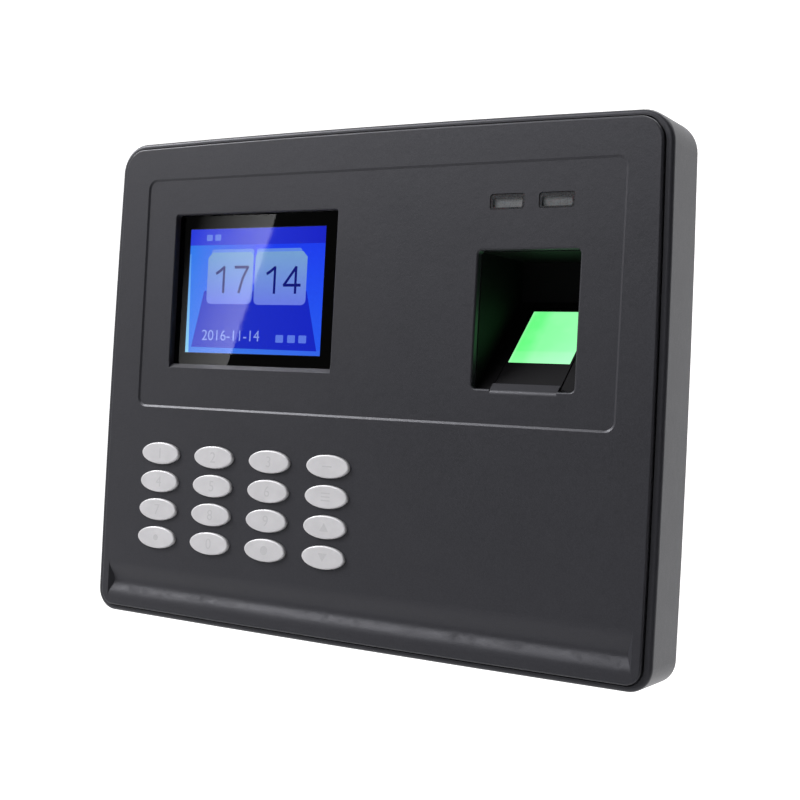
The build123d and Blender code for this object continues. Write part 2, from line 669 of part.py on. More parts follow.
# ---- Finger well and sensor --------------------------------------------------------------
def make_finger_guide():
    x_out = grown(WELL_X, GUIDE_WALL)
    z_out = grown(WELL_Z, GUIDE_WALL)
    outer = spanned(x_out, z_out, WELL_CORNER_R + GUIDE_WALL)
    guide = slab(outer, COVER_BACK, WELL_BACK + GUIDE_WALL)
    floor_z, roof_z = grown(WELL_Z, -GUIDE_EDGE)
    cheek_start = COVER_BACK + (floor_z + CHEEK_DROP - RAMP_FOOT[1]) / tan(radians(RAMP_ANGLE))
    cheek_end_z = ramp_z(WELL_BACK) - CHEEK_DROP
    cavity = polygon((COVER_BACK, floor_z), (cheek_start, floor_z), (WELL_BACK, cheek_end_z),
                     (WELL_BACK, roof_z), (COVER_BACK, roof_z))
    guide -= side_section(cavity, *grown(WELL_X, -GUIDE_EDGE))
    guide -= side_section(sensor_outline(RAMP_GAP), *grown(RAMP_X, RAMP_GAP))
    ear_depths = (GUIDE_EAR_DEPTH, GUIDE_EAR_DEPTH + BOARD)
    for x, z in GUIDE_SCREWS:
        towards = 1 if x < sum(WELL_X) / 2 else -1
        ear_x = sorted((x - towards * BOSS_R, x + towards * (BOSS_R + GUIDE_EAR_ROOT)))
        ear = block(ear_x, ear_depths, (z - GUIDE_EAR_HEIGHT / 2, z + GUIDE_EAR_HEIGHT / 2))
        guide += ear - rod(x, z, SCREW_R + SHANK_GAP, *ear_depths)
    return guide


def sensor_outline(clearance=0.0):
    """Side view of the sensor module: a ramp in front, a level top behind and a deep foot."""
    toe = COVER_BACK + GUIDE_EDGE
    front = toe - clearance
    back = SENSOR_BACK + clearance
    step_depth = SENSOR_STEP[0] - clearance
    step_z = SENSOR_STEP[1] - clearance
    top_z = ramp_z(SENSOR_CREST) + clearance
    return polygon((front, ramp_z(toe) + clearance), (SENSOR_CREST, top_z), (back, top_z),
                   (back, SENSOR_BOTTOM_Z), (step_depth, SENSOR_BOTTOM_Z), (step_depth, step_z),
                   (front, step_z))


def make_sensor_housing():
    """Block with a pocket for the prism, a shaft down to the lens and a seat for each board."""
    middle = sum(RAMP_X) / 2
    base = ramp_z(PRISM_FRONT)
    front = PRISM_FRONT - THREAD_GAP
    back = PRISM_BACK + THREAD_GAP
    pocket = polygon((front, base - THREAD_GAP), (front, WELL_Z[1]), (back, WELL_Z[1]),
                     (back, base - THREAD_GAP))
    inner_x = grown(RAMP_X, -SENSOR_WALL)
    shaft_x = (middle - SHAFT_HALF[0], middle + SHAFT_HALF[0])
    shaft_depths = (LENS_DEPTH - SHAFT_HALF[1], LENS_DEPTH + SHAFT_HALF[1])
    body = side_section(sensor_outline(), *RAMP_X)
    body -= side_section(pocket, *prism_span(THREAD_GAP))
    body -= block(shaft_x, shaft_depths, (SHAFT_FLOOR_Z, base))
    body -= post(middle, LENS_DEPTH, LENS_R + THREAD_GAP, SENSOR_BOTTOM_Z, SHAFT_FLOOR_Z)
    slot_depths = (PRISM_BACK - SENSOR_WALL / 2, PRISM_BACK + 2 * SENSOR_WALL)
    low, high = grown(LIGHT_BOARD_Z, 2 * PART_GAP)
    body -= block(inner_x, slot_depths, (base + low, base + high))
    foot_depths = (SENSOR_STEP[0] + SENSOR_WALL, SENSOR_BACK - SENSOR_WALL)
    return body - block(inner_x, foot_depths, (SENSOR_BOTTOM_Z, CAMERA_BOARD_Z[1] + 2 * PART_GAP))


def prism_span(clearance=0.0):
    middle = sum(RAMP_X) / 2
    return grown((middle - PRISM_WIDTH / 2, middle + PRISM_WIDTH / 2), clearance)


def make_sensor_prism():
    """Right-angled prism; a finger rests on its sloping face."""
    base = ramp_z(PRISM_FRONT)
    triangle = polygon((PRISM_FRONT, base), (PRISM_BACK, ramp_z(PRISM_BACK)), (PRISM_BACK, base))
    return side_section(triangle, *prism_span())


def make_sensor_light_board():
    """Board with four green lamps that light the prism's back."""
    base = ramp_z(PRISM_FRONT)
    middle = sum(RAMP_X) / 2
    face = PRISM_BACK + 2 * SENSOR_WALL - LIGHT_BOARD - PART_GAP
    board_x = grown(RAMP_X, -SENSOR_WALL - PART_GAP)
    board = block(board_x, (face, face + LIGHT_BOARD), (base + LIGHT_BOARD_Z[0], base + LIGHT_BOARD_Z[1]))
    width, height, depth = LAMP_SIZE[0], LAMP_SIZE[2], LAMP_SIZE[1]
    for x in (middle + LAMP_X[0], middle + LAMP_X[1]):
        for z in (base + LAMP_Z[0], base + LAMP_Z[1]):
            lamp_x = (x - width / 2, x + width / 2)
            board += block(lamp_x, (face - depth, face), (z - height / 2, z + height / 2))
    return board


def make_sensor_lens():
    """Threaded lens barrel that looks up at the prism."""
    x = sum(RAMP_X) / 2
    bottom, top = LENS_Z
    pupil_z = top - 1
    barrel = post(x, LENS_DEPTH, LENS_R, bottom, top)
    barrel -= post(x, LENS_DEPTH, LENS_MOUTH_R, bottom, (bottom + top) / 2 - 1)
    return barrel - post(x, LENS_DEPTH, LENS_PUPIL_R, pupil_z, top)


def make_sensor_camera_board():
    """Board under the lens, with the image chip on it."""
    x = sum(RAMP_X) / 2
    width, depth, height = CAMERA_CHIP
    board_x = grown(RAMP_X, -SENSOR_WALL - PART_GAP)
    board = block(board_x, (CAMERA_BOARD_DEPTH, SENSOR_BACK - SENSOR_WALL - PART_GAP), CAMERA_BOARD_Z)
    chip_depths = (LENS_DEPTH - depth / 2, LENS_DEPTH + depth / 2)
    chip_z = (CAMERA_BOARD_Z[1], CAMERA_BOARD_Z[1] + height)
    return board + block((x - width / 2, x + width / 2), chip_depths, chip_z)


# ---- Keypad ------------------------------------------------------------------------------
def make_key(centre):
    """Oval key cap with the flange that holds it behind the cover and a short stem."""
    place = Pos(*centre)
    cap = slab(place * Ellipse(KEY_WIDTH / 2, KEY_HEIGHT / 2), -COVER_PROUD - KEY_PROUD, key_cap_back)
    cap = fillet(cap.edges().group_by(Axis.Y)[0], KEY_EDGE_ROUND)
    flange = Ellipse(KEY_WIDTH / 2 + KEY_FLANGE, KEY_HEIGHT / 2 + KEY_FLANGE)
    flange_back = key_cap_back + KEY_FLANGE_THICKNESS
    cap += slab(place * flange, key_cap_back, flange_back)
    return cap + slab(place * Circle(KEY_STEM_R), flange_back, key_stem_back)


def make_keypad_mat():
    """Silicone sheet with one dome under each key."""
    mat = slab(spanned(MAT_X, MAT_Z, MAT_CORNER_R), mat_top, mat_top + MAT_SHEET)
    for centre in key_centres.values():
        mat += slab(Pos(*centre) * Circle(DOME_R), mat_top - DOME_HEIGHT, mat_top, DOME_SLOPE)
    return mat


def make_keypad_board():
    board = slab(spanned(KEYPAD_BOARD_X, KEYPAD_BOARD_Z), keypad_board_top, keypad_board_top + BOARD)
    for x, z in KEYPAD_SCREWS:
        board -= rod(x, z, SCREW_R + SHANK_GAP, keypad_board_top, keypad_board_top + BOARD)
    return board


# ---- Electronics -------------------------------------------------------------------------
def make_main_board():
    outline = spanned(MAIN_BOARD_X, MAIN_BOARD_Z) + spanned(MAIN_BOARD_ARM_X, MAIN_BOARD_ARM_Z)
    depths = (MAIN_BOARD_DEPTH, MAIN_BOARD_DEPTH + BOARD)
    board = slab(outline, *depths)
    for x, z in MAIN_BOARD_SCREWS:
        board -= rod(x, z, SCREW_R + SHANK_GAP, *depths)
    for x, z in case_screws:
        board -= rod(x, z, CASE_PILLAR_R + HEAD_GAP, *depths)
    return board


def board_part(x, z, size):
    """Block that stands on the back of the main board."""
    width, height, thickness = size
    face = MAIN_BOARD_DEPTH + BOARD
    x_range = (x - width / 2, x + width / 2)
    return block(x_range, (face, face + thickness), (z - height / 2, z + height / 2))


def make_processor_chip():
    return chamfer(board_part(*PROCESSOR, PROCESSOR_SIZE).edges().group_by(Axis.Y)[-1], CHIP_CHAMFER)


def make_memory_chips():
    return Compound([board_part(x, PROCESSOR[1], MEMORY_SIZE) for x in MEMORY_X])


def make_board_capacitors():
    face = MAIN_BOARD_DEPTH + BOARD
    depths = (face, face + CAPACITOR_HEIGHT)
    return Compound([rod(x, CAPACITOR_Z, CAPACITOR_R, *depths) for x in CAPACITOR_X])


def make_cell_holder():
    """Round cup for the clock's coin cell, with a notch to lift the cell out."""
    face = MAIN_BOARD_DEPTH + BOARD
    floor = face + CELL_FLOOR
    top = face + HOLDER_HEIGHT
    x, z = CELL_CENTRE
    holder = rod(x, z, HOLDER_R, face, top)
    holder -= rod(x, z, CELL_R + SHANK_GAP, floor, top)
    notch_x = (x - CELL_R / 2, x + CELL_R / 2)
    return holder - block(notch_x, (floor, top), (z + CELL_R - 1, z + HOLDER_R + 1))


def make_coin_cell():
    floor = MAIN_BOARD_DEPTH + BOARD + CELL_FLOOR
    cell = rod(*CELL_CENTRE, CELL_R, floor, floor + CELL_THICKNESS)
    return chamfer(cell.edges().group_by(Axis.Y)[-1], CELL_CHAMFER)


def board_socket(x, z, face, opening_side):
    """Flat-cable socket on the back of a board; its mouth faces up (+1) or down (-1)."""
    width, thickness, height = SOCKET_SIZE
    slot_width, slot, slot_length = SOCKET_SLOT
    mouth = z + opening_side * height / 2
    slot_start = face + SOCKET_LEVEL - slot / 2
    mouth_z = sorted((mouth - opening_side * slot_length, mouth))
    body_x = (x - width / 2, x + width / 2)
    slot_x = (x - slot_width / 2, x + slot_width / 2)
    body = block(body_x, (face, face + thickness), (z - height / 2, z + height / 2))
    return body - block(slot_x, (slot_start, slot_start + slot), mouth_z)


def make_cable_sockets():
    main_face = MAIN_BOARD_DEPTH + BOARD
    io_face = IO_BOARD_DEPTH + BOARD
    sockets = [
        board_socket(KEYPAD_CABLE_X, KEYPAD_SOCKETS_Z[0], main_face, -1),
        board_socket(KEYPAD_CABLE_X, KEYPAD_SOCKETS_Z[1], keypad_board_top + BOARD, 1),
        board_socket(IO_CABLE_X, IO_SOCKETS_Z[0], main_face, -1),
        board_socket(IO_CABLE_X, IO_SOCKETS_Z[1], io_face, 1),
    ]
    return Compound([solid for socket in sockets for solid in socket.solids()])


def make_keypad_cable():
    """Flat cable in a shallow loop from the keypad board to the main board."""
    main_level = MAIN_BOARD_DEPTH + BOARD + SOCKET_LEVEL
    keypad_level = keypad_board_top + BOARD + SOCKET_LEVEL
    points = ((keypad_level, -20.0), (keypad_level, -17.0), (main_level + 1.4, -13.5), (main_level, -9.5),
              (main_level, -6.2))
    return ribbon(points, FLAT_CABLE, KEYPAD_CABLE_X, KEYPAD_CABLE_WIDTH)


def make_io_cable():
    """Flat cable from the main board down to the I/O board."""
    main_level = MAIN_BOARD_DEPTH + BOARD + SOCKET_LEVEL
    io_level = IO_BOARD_DEPTH + BOARD + SOCKET_LEVEL
    points = ((main_level, 1.2), (main_level, -6.0), (main_level + 2.5, -14.0), (io_level + 3.0, -26.0),
              (io_level, -32.5), (io_level, -36.6))
    return ribbon(points, FLAT_CABLE, IO_CABLE_X, IO_CABLE_WIDTH)


def make_status_leds():
    lamp = Rectangle(*LED_SIZE)
    depths = (MAIN_BOARD_DEPTH - LED_HEIGHT, MAIN_BOARD_DEPTH)
    return Compound([slab(Pos(x, PIPE_Z) * lamp, *depths) for x in PIPE_CENTRES_X])


def make_sensor_cable():
    """Sleeved wires from under the sensor to the main board."""
    face = MAIN_BOARD_DEPTH + BOARD
    points = ((51.6, 20.0, -13.5), (51.6, 20.0, -22.0), (36.0, 18.0, -21.0), (22.0, 16.5, -9.0),
              (12.0, 16.0, 10.0), (12.0, face + 0.1, 10.0))
    return wire_run(points, SENSOR_CABLE_BEND, SENSOR_CABLE_R)


# ---- I/O board, sockets and reset button -------------------------------------------------
def make_io_board():
    board = slab(spanned(IO_BOARD_X, IO_BOARD_Z), IO_BOARD_DEPTH, IO_BOARD_DEPTH + BOARD)
    for x, z in IO_BOARD_SCREWS:
        board -= rod(x, z, SCREW_R + SHANK_GAP, IO_BOARD_DEPTH, IO_BOARD_DEPTH + BOARD)
    return board


def usb_box(shrink, top_shrink):
    """Box of the socket's outline, made smaller all round and at its closed end."""
    face = IO_BOARD_DEPTH + BOARD
    x_range = (USB_X - USB_SIZE[0] / 2 + shrink, USB_X + USB_SIZE[0] / 2 - shrink)
    depth_range = (face + shrink, face + USB_SIZE[1] - shrink)
    return block(x_range, depth_range, (SOCKET_MOUTH_Z, SOCKET_MOUTH_Z + USB_SIZE[2] - top_shrink))


def make_usb_socket():
    return usb_box(0, 0) - usb_box(USB_SHELL, USB_SHELL)


def make_usb_tongue():
    """Contact tongue and the insulating block behind it."""
    face = IO_BOARD_DEPTH + BOARD
    top = SOCKET_MOUTH_Z + USB_SIZE[2] - USB_SHELL
    x_range = (USB_X - USB_SIZE[0] / 2 + USB_SHELL, USB_X + USB_SIZE[0] / 2 - USB_SHELL)
    rear_z = top - USB_BLOCK
    rear = block(x_range, (face + USB_SHELL, face + USB_SIZE[1] - USB_SHELL), (rear_z, top))
    tongue_x = (USB_X - USB_TONGUE_HALF, USB_X + USB_TONGUE_HALF)
    tongue_depths = (face + USB_TONGUE[0], face + USB_TONGUE[1])
    return rear + block(tongue_x, tongue_depths, (SOCKET_MOUTH_Z + USB_TONGUE_SETBACK, rear_z))


def make_dc_jack():
    face = IO_BOARD_DEPTH + BOARD
    depth = face + JACK_SIZE[1] / 2
    base = BOTTOM_WALL_TOP
    x_range = (JACK_X - JACK_SIZE[0] / 2, JACK_X + JACK_SIZE[0] / 2)
    body = block(x_range, (face, face + JACK_SIZE[1]), (base, base + JACK_SIZE[2]))
    body += post(JACK_X, depth, JACK_BARREL_R, SOCKET_MOUTH_Z, base)
    return body - post(JACK_X, depth, JACK_BORE_R, SOCKET_MOUTH_Z, SOCKET_MOUTH_Z + JACK_BORE_LENGTH)


def make_dc_jack_pin():
    depth = IO_BOARD_DEPTH + BOARD + JACK_SIZE[1] / 2
    end = SOCKET_MOUTH_Z + JACK_BORE_LENGTH
    pin = post(JACK_X, depth, JACK_PIN_R, SOCKET_MOUTH_Z + JACK_PIN_SETBACK, end)
    return fillet(pin.edges().group_by(Axis.Z)[0], JACK_PIN_R / 2)


def make_reset_switch():
    """Small switch on the I/O board with a bore for its button."""
    width, depth, height = RESET_SWITCH_SIZE
    face = IO_BOARD_DEPTH + BOARD
    bottom = RESET_SWITCH_Z
    x_range = (RESET_X - width / 2, RESET_X + width / 2)
    body = block(x_range, (face, face + depth), (bottom, bottom + height))
    bore_r = RESET_BUTTON_R + THREAD_GAP
    return body - post(RESET_X, reset_depth(), bore_r, bottom, bottom + RESET_SWITCH_BORE)


def make_reset_button():
    top = RESET_SWITCH_Z + RESET_SWITCH_BORE - RESET_TRAVEL - PART_GAP
    button = post(RESET_X, reset_depth(), RESET_BUTTON_R, top - RESET_BUTTON_LENGTH, top)
    return fillet(button.edges().group_by(Axis.Z)[0], RESET_BUTTON_ROUND)


# ---- Loudspeaker -------------------------------------------------------------------------
def make_speaker_basket():
    """Steel cup with its magnet; the open side faces the grille."""
    x, z = SPEAKER_CENTRE
    front = HUMP_FLOOR - SPEAKER_DEPTH
    cup_front = front + SPEAKER_MAGNET
    basket = rod(x, z, SPEAKER_R, HUMP_FLOOR - SPEAKER_RIM, HUMP_FLOOR)
    basket += rod(x, z, SPEAKER_CUP_R, cup_front, HUMP_FLOOR - SPEAKER_RIM)
    basket += rod(x, z, SPEAKER_MAGNET_R, front, cup_front)
    return basket - rod(x, z, SPEAKER_MOUTH_R, cup_front + SPEAKER_FLOOR, HUMP_FLOOR)


def make_speaker_cone():
    """Thin dished diaphragm with a raised centre dome, glued in the basket's mouth."""
    rim_r = SPEAKER_MOUTH_R - CONE_GAP
    shoulder = -CONE_CROWN - CONE_SHOULDER
    section = polygon((0, -CONE_CROWN), (CONE_SHOULDER_R, shoulder), (CONE_DOME_R, -CONE_DISH),
                      (rim_r, -CONE_FILM), (rim_r, 0), (CONE_DOME_R, CONE_FILM - CONE_DISH),
                      (CONE_SHOULDER_R, CONE_FILM + shoulder), (0, CONE_FILM - CONE_CROWN))
    x, z = SPEAKER_CENTRE
    origin = (x, FRONT_Y + HUMP_FLOOR - CONE_SETBACK, z)
    plane = Plane(origin=origin, x_dir=(1, 0, 0), z_dir=(0, 0, 1))
    return revolve(plane * section, axis=Axis((x, 0, z), (0, 1, 0)))


def make_speaker_leads():
    """Pair of wires from the basket up to the main board."""
    x, z = SPEAKER_CENTRE
    front = HUMP_FLOOR - SPEAKER_DEPTH
    points = ((x - 5, front - 0.1, z + 3), (x - 5, front - 4, z + 3), (x - 24, front - 5, z + 12),
              (16.0, 17.0, -12.0), (2.0, 15.0, 4.0), (2.0, MAIN_BOARD_DEPTH + BOARD + 0.1, 4.0))
    return wire_run(points, SPEAKER_LEAD_BEND, SPEAKER_LEAD_R)


# ---- Fasteners ---------------------------------------------------------------------------
def pan_screw(place, head_r, head, shank_r, length):
    """Pan-head screw; the place's Z axis points from the board towards the screw's head."""
    screw = extrude(Circle(head_r), amount=head)
    screw = fillet(screw.edges().group_by(Axis.Z)[-1], head * HEAD_DOMING)
    recess = Box(head_r * RECESS_LENGTH, head_r * RECESS_WIDTH, head * RECESS_DEPTH * 2)
    for turn in (0, 90):
        screw -= Pos(0, 0, head) * Rot(0, 0, turn) * recess
    screw += extrude(Circle(shank_r), amount=-length)
    return place * screw


def board_screw(x, z, depth):
    place = Plane(origin=(x, FRONT_Y + depth, z), x_dir=(1, 0, 0), z_dir=(0, 1, 0))
    return pan_screw(place, SCREW_HEAD_R, SCREW_HEAD, SCREW_R, SCREW_LENGTH)


def case_screw(place, length):
    return pan_screw(place, CASE_SCREW_HEAD_R, CASE_SCREW_HEAD, CASE_SCREW_R, length)


def make_board_screws():
    screws = [board_screw(x, z, MAIN_BOARD_DEPTH + BOARD) for x, z in MAIN_BOARD_SCREWS]
    screws += [board_screw(x, z, IO_BOARD_DEPTH + BOARD) for x, z in IO_BOARD_SCREWS]
    screws += [board_screw(x, z, GUIDE_EAR_DEPTH + BOARD) for x, z in GUIDE_SCREWS]
    screws += [board_screw(x, z, keypad_board_top + BOARD) for x, z in KEYPAD_SCREWS]
    return Compound([solid for screw in screws for solid in screw.solids()])


def make_case_screws():
    screws = []
    seat_y = FRONT_Y + BAND_DEPTH - COUNTERBORE
    for x, z in case_screws:
        place = Plane(origin=(x, seat_y, z), x_dir=(1, 0, 0), z_dir=(0, 1, 0))
        screws.append(case_screw(place, CASE_SCREW_LENGTH))
    return Compound([solid for screw in screws for solid in screw.solids()])


# ---- Wall plate --------------------------------------------------------------------------
def make_wall_plate():
    """Pressed steel plate with four slots for wall screws, four hooks and a lock tab."""
    plate = slab(RectangleRounded(PLATE_WIDTH, PLATE_HEIGHT, PLATE_CORNER_R), HUMP_BACK, THICKNESS)
    tab_bottom = -HEIGHT / 2 + HUMP_INSET - LOCK_TAB_GAP
    tab_x = (-LOCK_TAB_WIDTH / 2, LOCK_TAB_WIDTH / 2)
    plate += block(tab_x, (HUMP_BACK, THICKNESS), (tab_bottom - PLATE_THICKNESS, -PLATE_HEIGHT / 2))
    tab = block(tab_x, (LOCK_TAB_DEPTH, THICKNESS), (tab_bottom - PLATE_THICKNESS, tab_bottom))
    tab -= post(0, LOCK_SCREW_DEPTH, CASE_SCREW_R + SHANK_GAP, tab_bottom - PLATE_THICKNESS, tab_bottom)
    plate += tab
    for x, z in corners(WALL_SCREW_SPACING[0] / 2, WALL_SCREW_SPACING[1] / 2):
        plate -= slab(Pos(x, z) * SlotOverall(*WALL_SCREW_SLOT), HUMP_BACK, THICKNESS)
    for x in (-HOOK_X, HOOK_X):
        for z in HOOK_Z:
            plate += wall_hook(x, z)
    return plate


def wall_hook(x, z):
    """Tab that passes through the housing's back wall and turns up behind it."""
    x_range = (x - HOOK_WIDTH / 2, x + HOOK_WIDTH / 2)
    lip_front = HUMP_BACK - HOOK_REACH - PLATE_THICKNESS
    bottom = z - HOOK_DROP
    reach = block(x_range, (lip_front, HUMP_BACK), (bottom, bottom + PLATE_THICKNESS))
    return reach + block(x_range, (lip_front, lip_front + PLATE_THICKNESS), (bottom, z + HOOK_LIP))


def make_plate_lock_screw():
    """Screw that goes up through the plate's tab into the housing's bottom boss."""
    z = -HEIGHT / 2 + HUMP_INSET - LOCK_TAB_GAP - PLATE_THICKNESS
    place = Plane(origin=(0, FRONT_Y + LOCK_SCREW_DEPTH, z), x_dir=(1, 0, 0), z_dir=(0, 0, -1))
    return case_screw(place, LOCK_SCREW_LENGTH)


# ---- All the separate pieces -------------------------------------------------------------
def make_parts():
    parts = {
        "rear_housing": make_rear_housing(),
        "front_cover": make_front_cover(),
        "window_tape": make_window_tape(),
        "display_window": make_display_window(),
        "lcd_panel": make_lcd_panel(),
        "lcd_backlight": make_lcd_backlight(),
        "lcd_frame": make_lcd_frame(),
        "lcd_flex": make_lcd_flex(),
        "light_pipe_left": make_light_pipe(PIPE_CENTRES_X[0]),
        "light_pipe_right": make_light_pipe(PIPE_CENTRES_X[1]),
        "status_leds": make_status_leds(),
        "finger_guide": make_finger_guide(),
        "sensor_housing": make_sensor_housing(),
        "sensor_prism": make_sensor_prism(),
        "sensor_light_board": make_sensor_light_board(),
        "sensor_lens": make_sensor_lens(),
        "sensor_camera_board": make_sensor_camera_board(),
        "sensor_cable": make_sensor_cable(),
        "keypad_mat": make_keypad_mat(),
        "keypad_board": make_keypad_board(),
        "keypad_cable": make_keypad_cable(),
        "main_board": make_main_board(),
        "processor_chip": make_processor_chip(),
        "memory_chips": make_memory_chips(),
        "board_capacitors": make_board_capacitors(),
        "cell_holder": make_cell_holder(),
        "coin_cell": make_coin_cell(),
        "cable_sockets": make_cable_sockets(),
        "io_board": make_io_board(),
        "io_cable": make_io_cable(),
        "usb_socket": make_usb_socket(),
        "usb_tongue": make_usb_tongue(),
        "dc_jack": make_dc_jack(),
        "dc_jack_pin": make_dc_jack_pin(),
        "reset_switch": make_reset_switch(),
        "reset_button": make_reset_button(),
        "speaker_basket": make_speaker_basket(),
        "speaker_cone": make_speaker_cone(),
        "speaker_leads": make_speaker_leads(),
        "board_screws": make_board_screws(),
        "case_screws": make_case_screws(),
        "wall_plate": make_wall_plate(),
        "plate_lock_screw": make_plate_lock_screw(),
    }
    for name, centre in key_centres.items():
        parts[name] = make_key(centre)
    return parts


os.makedirs("parts", exist_ok=True)
for node, shape in make_parts().items():
    export_step(shape, f"parts/{node}.step")
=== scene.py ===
import itertools
import json
import math

import bmesh
import bpy
from mathutils import Matrix, Vector


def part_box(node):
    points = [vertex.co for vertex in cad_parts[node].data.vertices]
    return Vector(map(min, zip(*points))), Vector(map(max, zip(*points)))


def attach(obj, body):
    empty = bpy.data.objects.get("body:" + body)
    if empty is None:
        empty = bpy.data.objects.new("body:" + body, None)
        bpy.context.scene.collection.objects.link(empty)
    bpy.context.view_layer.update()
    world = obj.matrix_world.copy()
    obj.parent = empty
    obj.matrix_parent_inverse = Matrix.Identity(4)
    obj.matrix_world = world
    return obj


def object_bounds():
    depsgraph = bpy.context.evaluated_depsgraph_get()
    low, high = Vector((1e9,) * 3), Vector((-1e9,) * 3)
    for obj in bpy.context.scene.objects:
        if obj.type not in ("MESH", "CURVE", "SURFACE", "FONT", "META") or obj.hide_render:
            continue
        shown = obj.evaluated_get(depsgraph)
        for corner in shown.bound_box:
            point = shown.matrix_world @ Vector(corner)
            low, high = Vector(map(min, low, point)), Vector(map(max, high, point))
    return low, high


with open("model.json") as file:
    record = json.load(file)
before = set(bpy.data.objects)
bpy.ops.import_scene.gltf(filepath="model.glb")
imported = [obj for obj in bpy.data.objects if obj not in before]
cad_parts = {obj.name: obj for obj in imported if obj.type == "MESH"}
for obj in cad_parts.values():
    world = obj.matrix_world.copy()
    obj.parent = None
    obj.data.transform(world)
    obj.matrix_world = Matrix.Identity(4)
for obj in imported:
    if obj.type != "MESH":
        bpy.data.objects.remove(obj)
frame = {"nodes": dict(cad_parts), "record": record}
cad_low, cad_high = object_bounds()

# A wall-mounted fingerprint scanner terminal, in metres. X runs to the right of the person who
# faces it, Y towards the wall and Z up.
MM = 0.001
BODY = "terminal"

# Lit area of the display, and the gaps of its printed border
LIT_HALF_WIDTH = 24.48 * MM
LIT_HALF_HEIGHT = 18.36 * MM
PRINT_MARGIN = 0.15 * MM
PRINT_CORNER_R = 0.8 * MM
PRINT_LIT_CORNER_R = 0.1 * MM
PRINT_THICKNESS = 0.04 * MM

# The clock picture is a stack of thin sheets, one level in front of the other
LEVEL = 0.004 * MM
SHEET_THICKNESS = 0.003 * MM
MARK_THICKNESS = 0.002 * MM
DIGIT_STROKE = 0.85 * MM
BLOCK_CORNER_R = 0.3 * MM
CARD_CORNER_R = 1.6 * MM
BACK_CARD_CORNER_R = 0.9 * MM

# Key legends: ink pressed into the key's top until only a film stands proud
DIGITS = "1234567890"
DIGIT_HEIGHT = 3.1 * MM
INK_THICKNESS = 0.02 * MM
INK_FRONT = -0.01 * MM
INK_SUNK = 0.0085 * MM
INK_BAR = 0.35 * MM
INK_BAR_CORNER_R = 0.1 * MM
DOT_POINTS = 24


# ---- Material building ---------------------------------------------------------------------
class Finish:
    """One procedural material, put together node by node in the part's coordinates."""

    def __init__(self, name, colour, roughness, metallic=0.0):
        self.material = bpy.data.materials.new(name)
        self.material.use_nodes = True
        self.tree = self.material.node_tree
        self.shader = self.tree.nodes["Principled BSDF"]
        self.shader.inputs["Base Color"].default_value = (*colour, 1)
        self.shader.inputs["Roughness"].default_value = roughness
        self.shader.inputs["Metallic"].default_value = metallic
        self.place = self.add("ShaderNodeTexCoord").outputs["Object"]
        self.normal = None

    def add(self, kind, **settings):
        node = self.tree.nodes.new(kind)
        for key, value in settings.items():
            setattr(node, key, value)
        return node

    def join(self, source, target):
        self.tree.links.new(source, target)

    def set(self, **values):
        """Sets sockets of the shader by name; an underscore stands for a space."""
        for key, value in values.items():
            self.shader.inputs[key.replace("_", " ")].default_value = value
        return self

    def stretched(self, scale):
        node = self.add("ShaderNodeMapping")
        node.inputs["Scale"].default_value = scale
        self.join(self.place, node.inputs["Vector"])
        return node.outputs["Vector"]

    def noise(self, size, detail=3.0, rough=0.5, place=None):
        """Noise with features of about a size in metres."""
        node = self.add("ShaderNodeTexNoise")
        node.inputs["Scale"].default_value = 1 / size
        node.inputs["Detail"].default_value = detail
        node.inputs["Roughness"].default_value = rough
        self.join(place or self.place, node.inputs["Vector"])
        return node.outputs["Fac"]

    def cells(self, size, feature="F1", output="Distance"):
        node = self.add("ShaderNodeTexVoronoi", feature=feature)
        node.inputs["Scale"].default_value = 1 / size
        self.join(self.place, node.inputs["Vector"])
        return node.outputs[output]

    def ramp(self, factor, stops):
        """Colour ramp from (position, colour) stops."""
        node = self.add("ShaderNodeValToRGB")
        elements = node.color_ramp.elements
        while len(elements) < len(stops):
            elements.new(0.5)
        for element, (position, colour) in zip(elements, stops):
            element.position = position
            element.color = (*colour, 1)
        self.join(factor, node.inputs["Fac"])
        return node.outputs["Color"]

    def span(self, factor, low, high, from_low=0.0, from_high=1.0):
        """Maps a factor to a range of values."""
        node = self.add("ShaderNodeMapRange")
        node.inputs["From Min"].default_value = from_low
        node.inputs["From Max"].default_value = from_high
        node.inputs["To Min"].default_value = low
        node.inputs["To Max"].default_value = high
        self.join(factor, node.inputs["Value"])
        return node.outputs["Result"]

    def maths(self, operation, first, second):
        node = self.add("ShaderNodeMath", operation=operation)
        for socket, value in zip(node.inputs, (first, second)):
            if isinstance(value, (int, float)):
                socket.default_value = value
            else:
                self.join(value, socket)
        return node.outputs["Value"]

    def blend(self, factor, first, second, how="MIX"):
        """Mixes two colours, each a socket or a plain colour."""
        node = self.add("ShaderNodeMix", data_type="RGBA", blend_type=how)
        if isinstance(factor, (int, float)):
            node.inputs["Factor"].default_value = factor
        else:
            self.join(factor, node.inputs["Factor"])
        for socket, value in zip((node.inputs[6], node.inputs[7]), (first, second)):
            if isinstance(value, tuple):
                socket.default_value = (*value, 1)
            else:
                self.join(value, socket)
        return node.outputs[2]

    def colour(self, source):
        self.join(source, self.shader.inputs["Base Color"])
        return self

    def roughness(self, source):
        self.join(source, self.shader.inputs["Roughness"])
        return self

    def bump(self, height, depth, strength=1.0):
        """Adds relief of a depth in metres on top of what is there."""
        node = self.add("ShaderNodeBump")
        node.inputs["Strength"].default_value = strength
        node.inputs["Distance"].default_value = depth
        self.join(height, node.inputs["Height"])
        if self.normal:
            self.join(self.normal, node.inputs["Normal"])
        self.normal = node.outputs["Normal"]
        self.join(self.normal, self.shader.inputs["Normal"])
        return self


def scaled(colour, factor):
    return tuple(channel * factor for channel in colour)


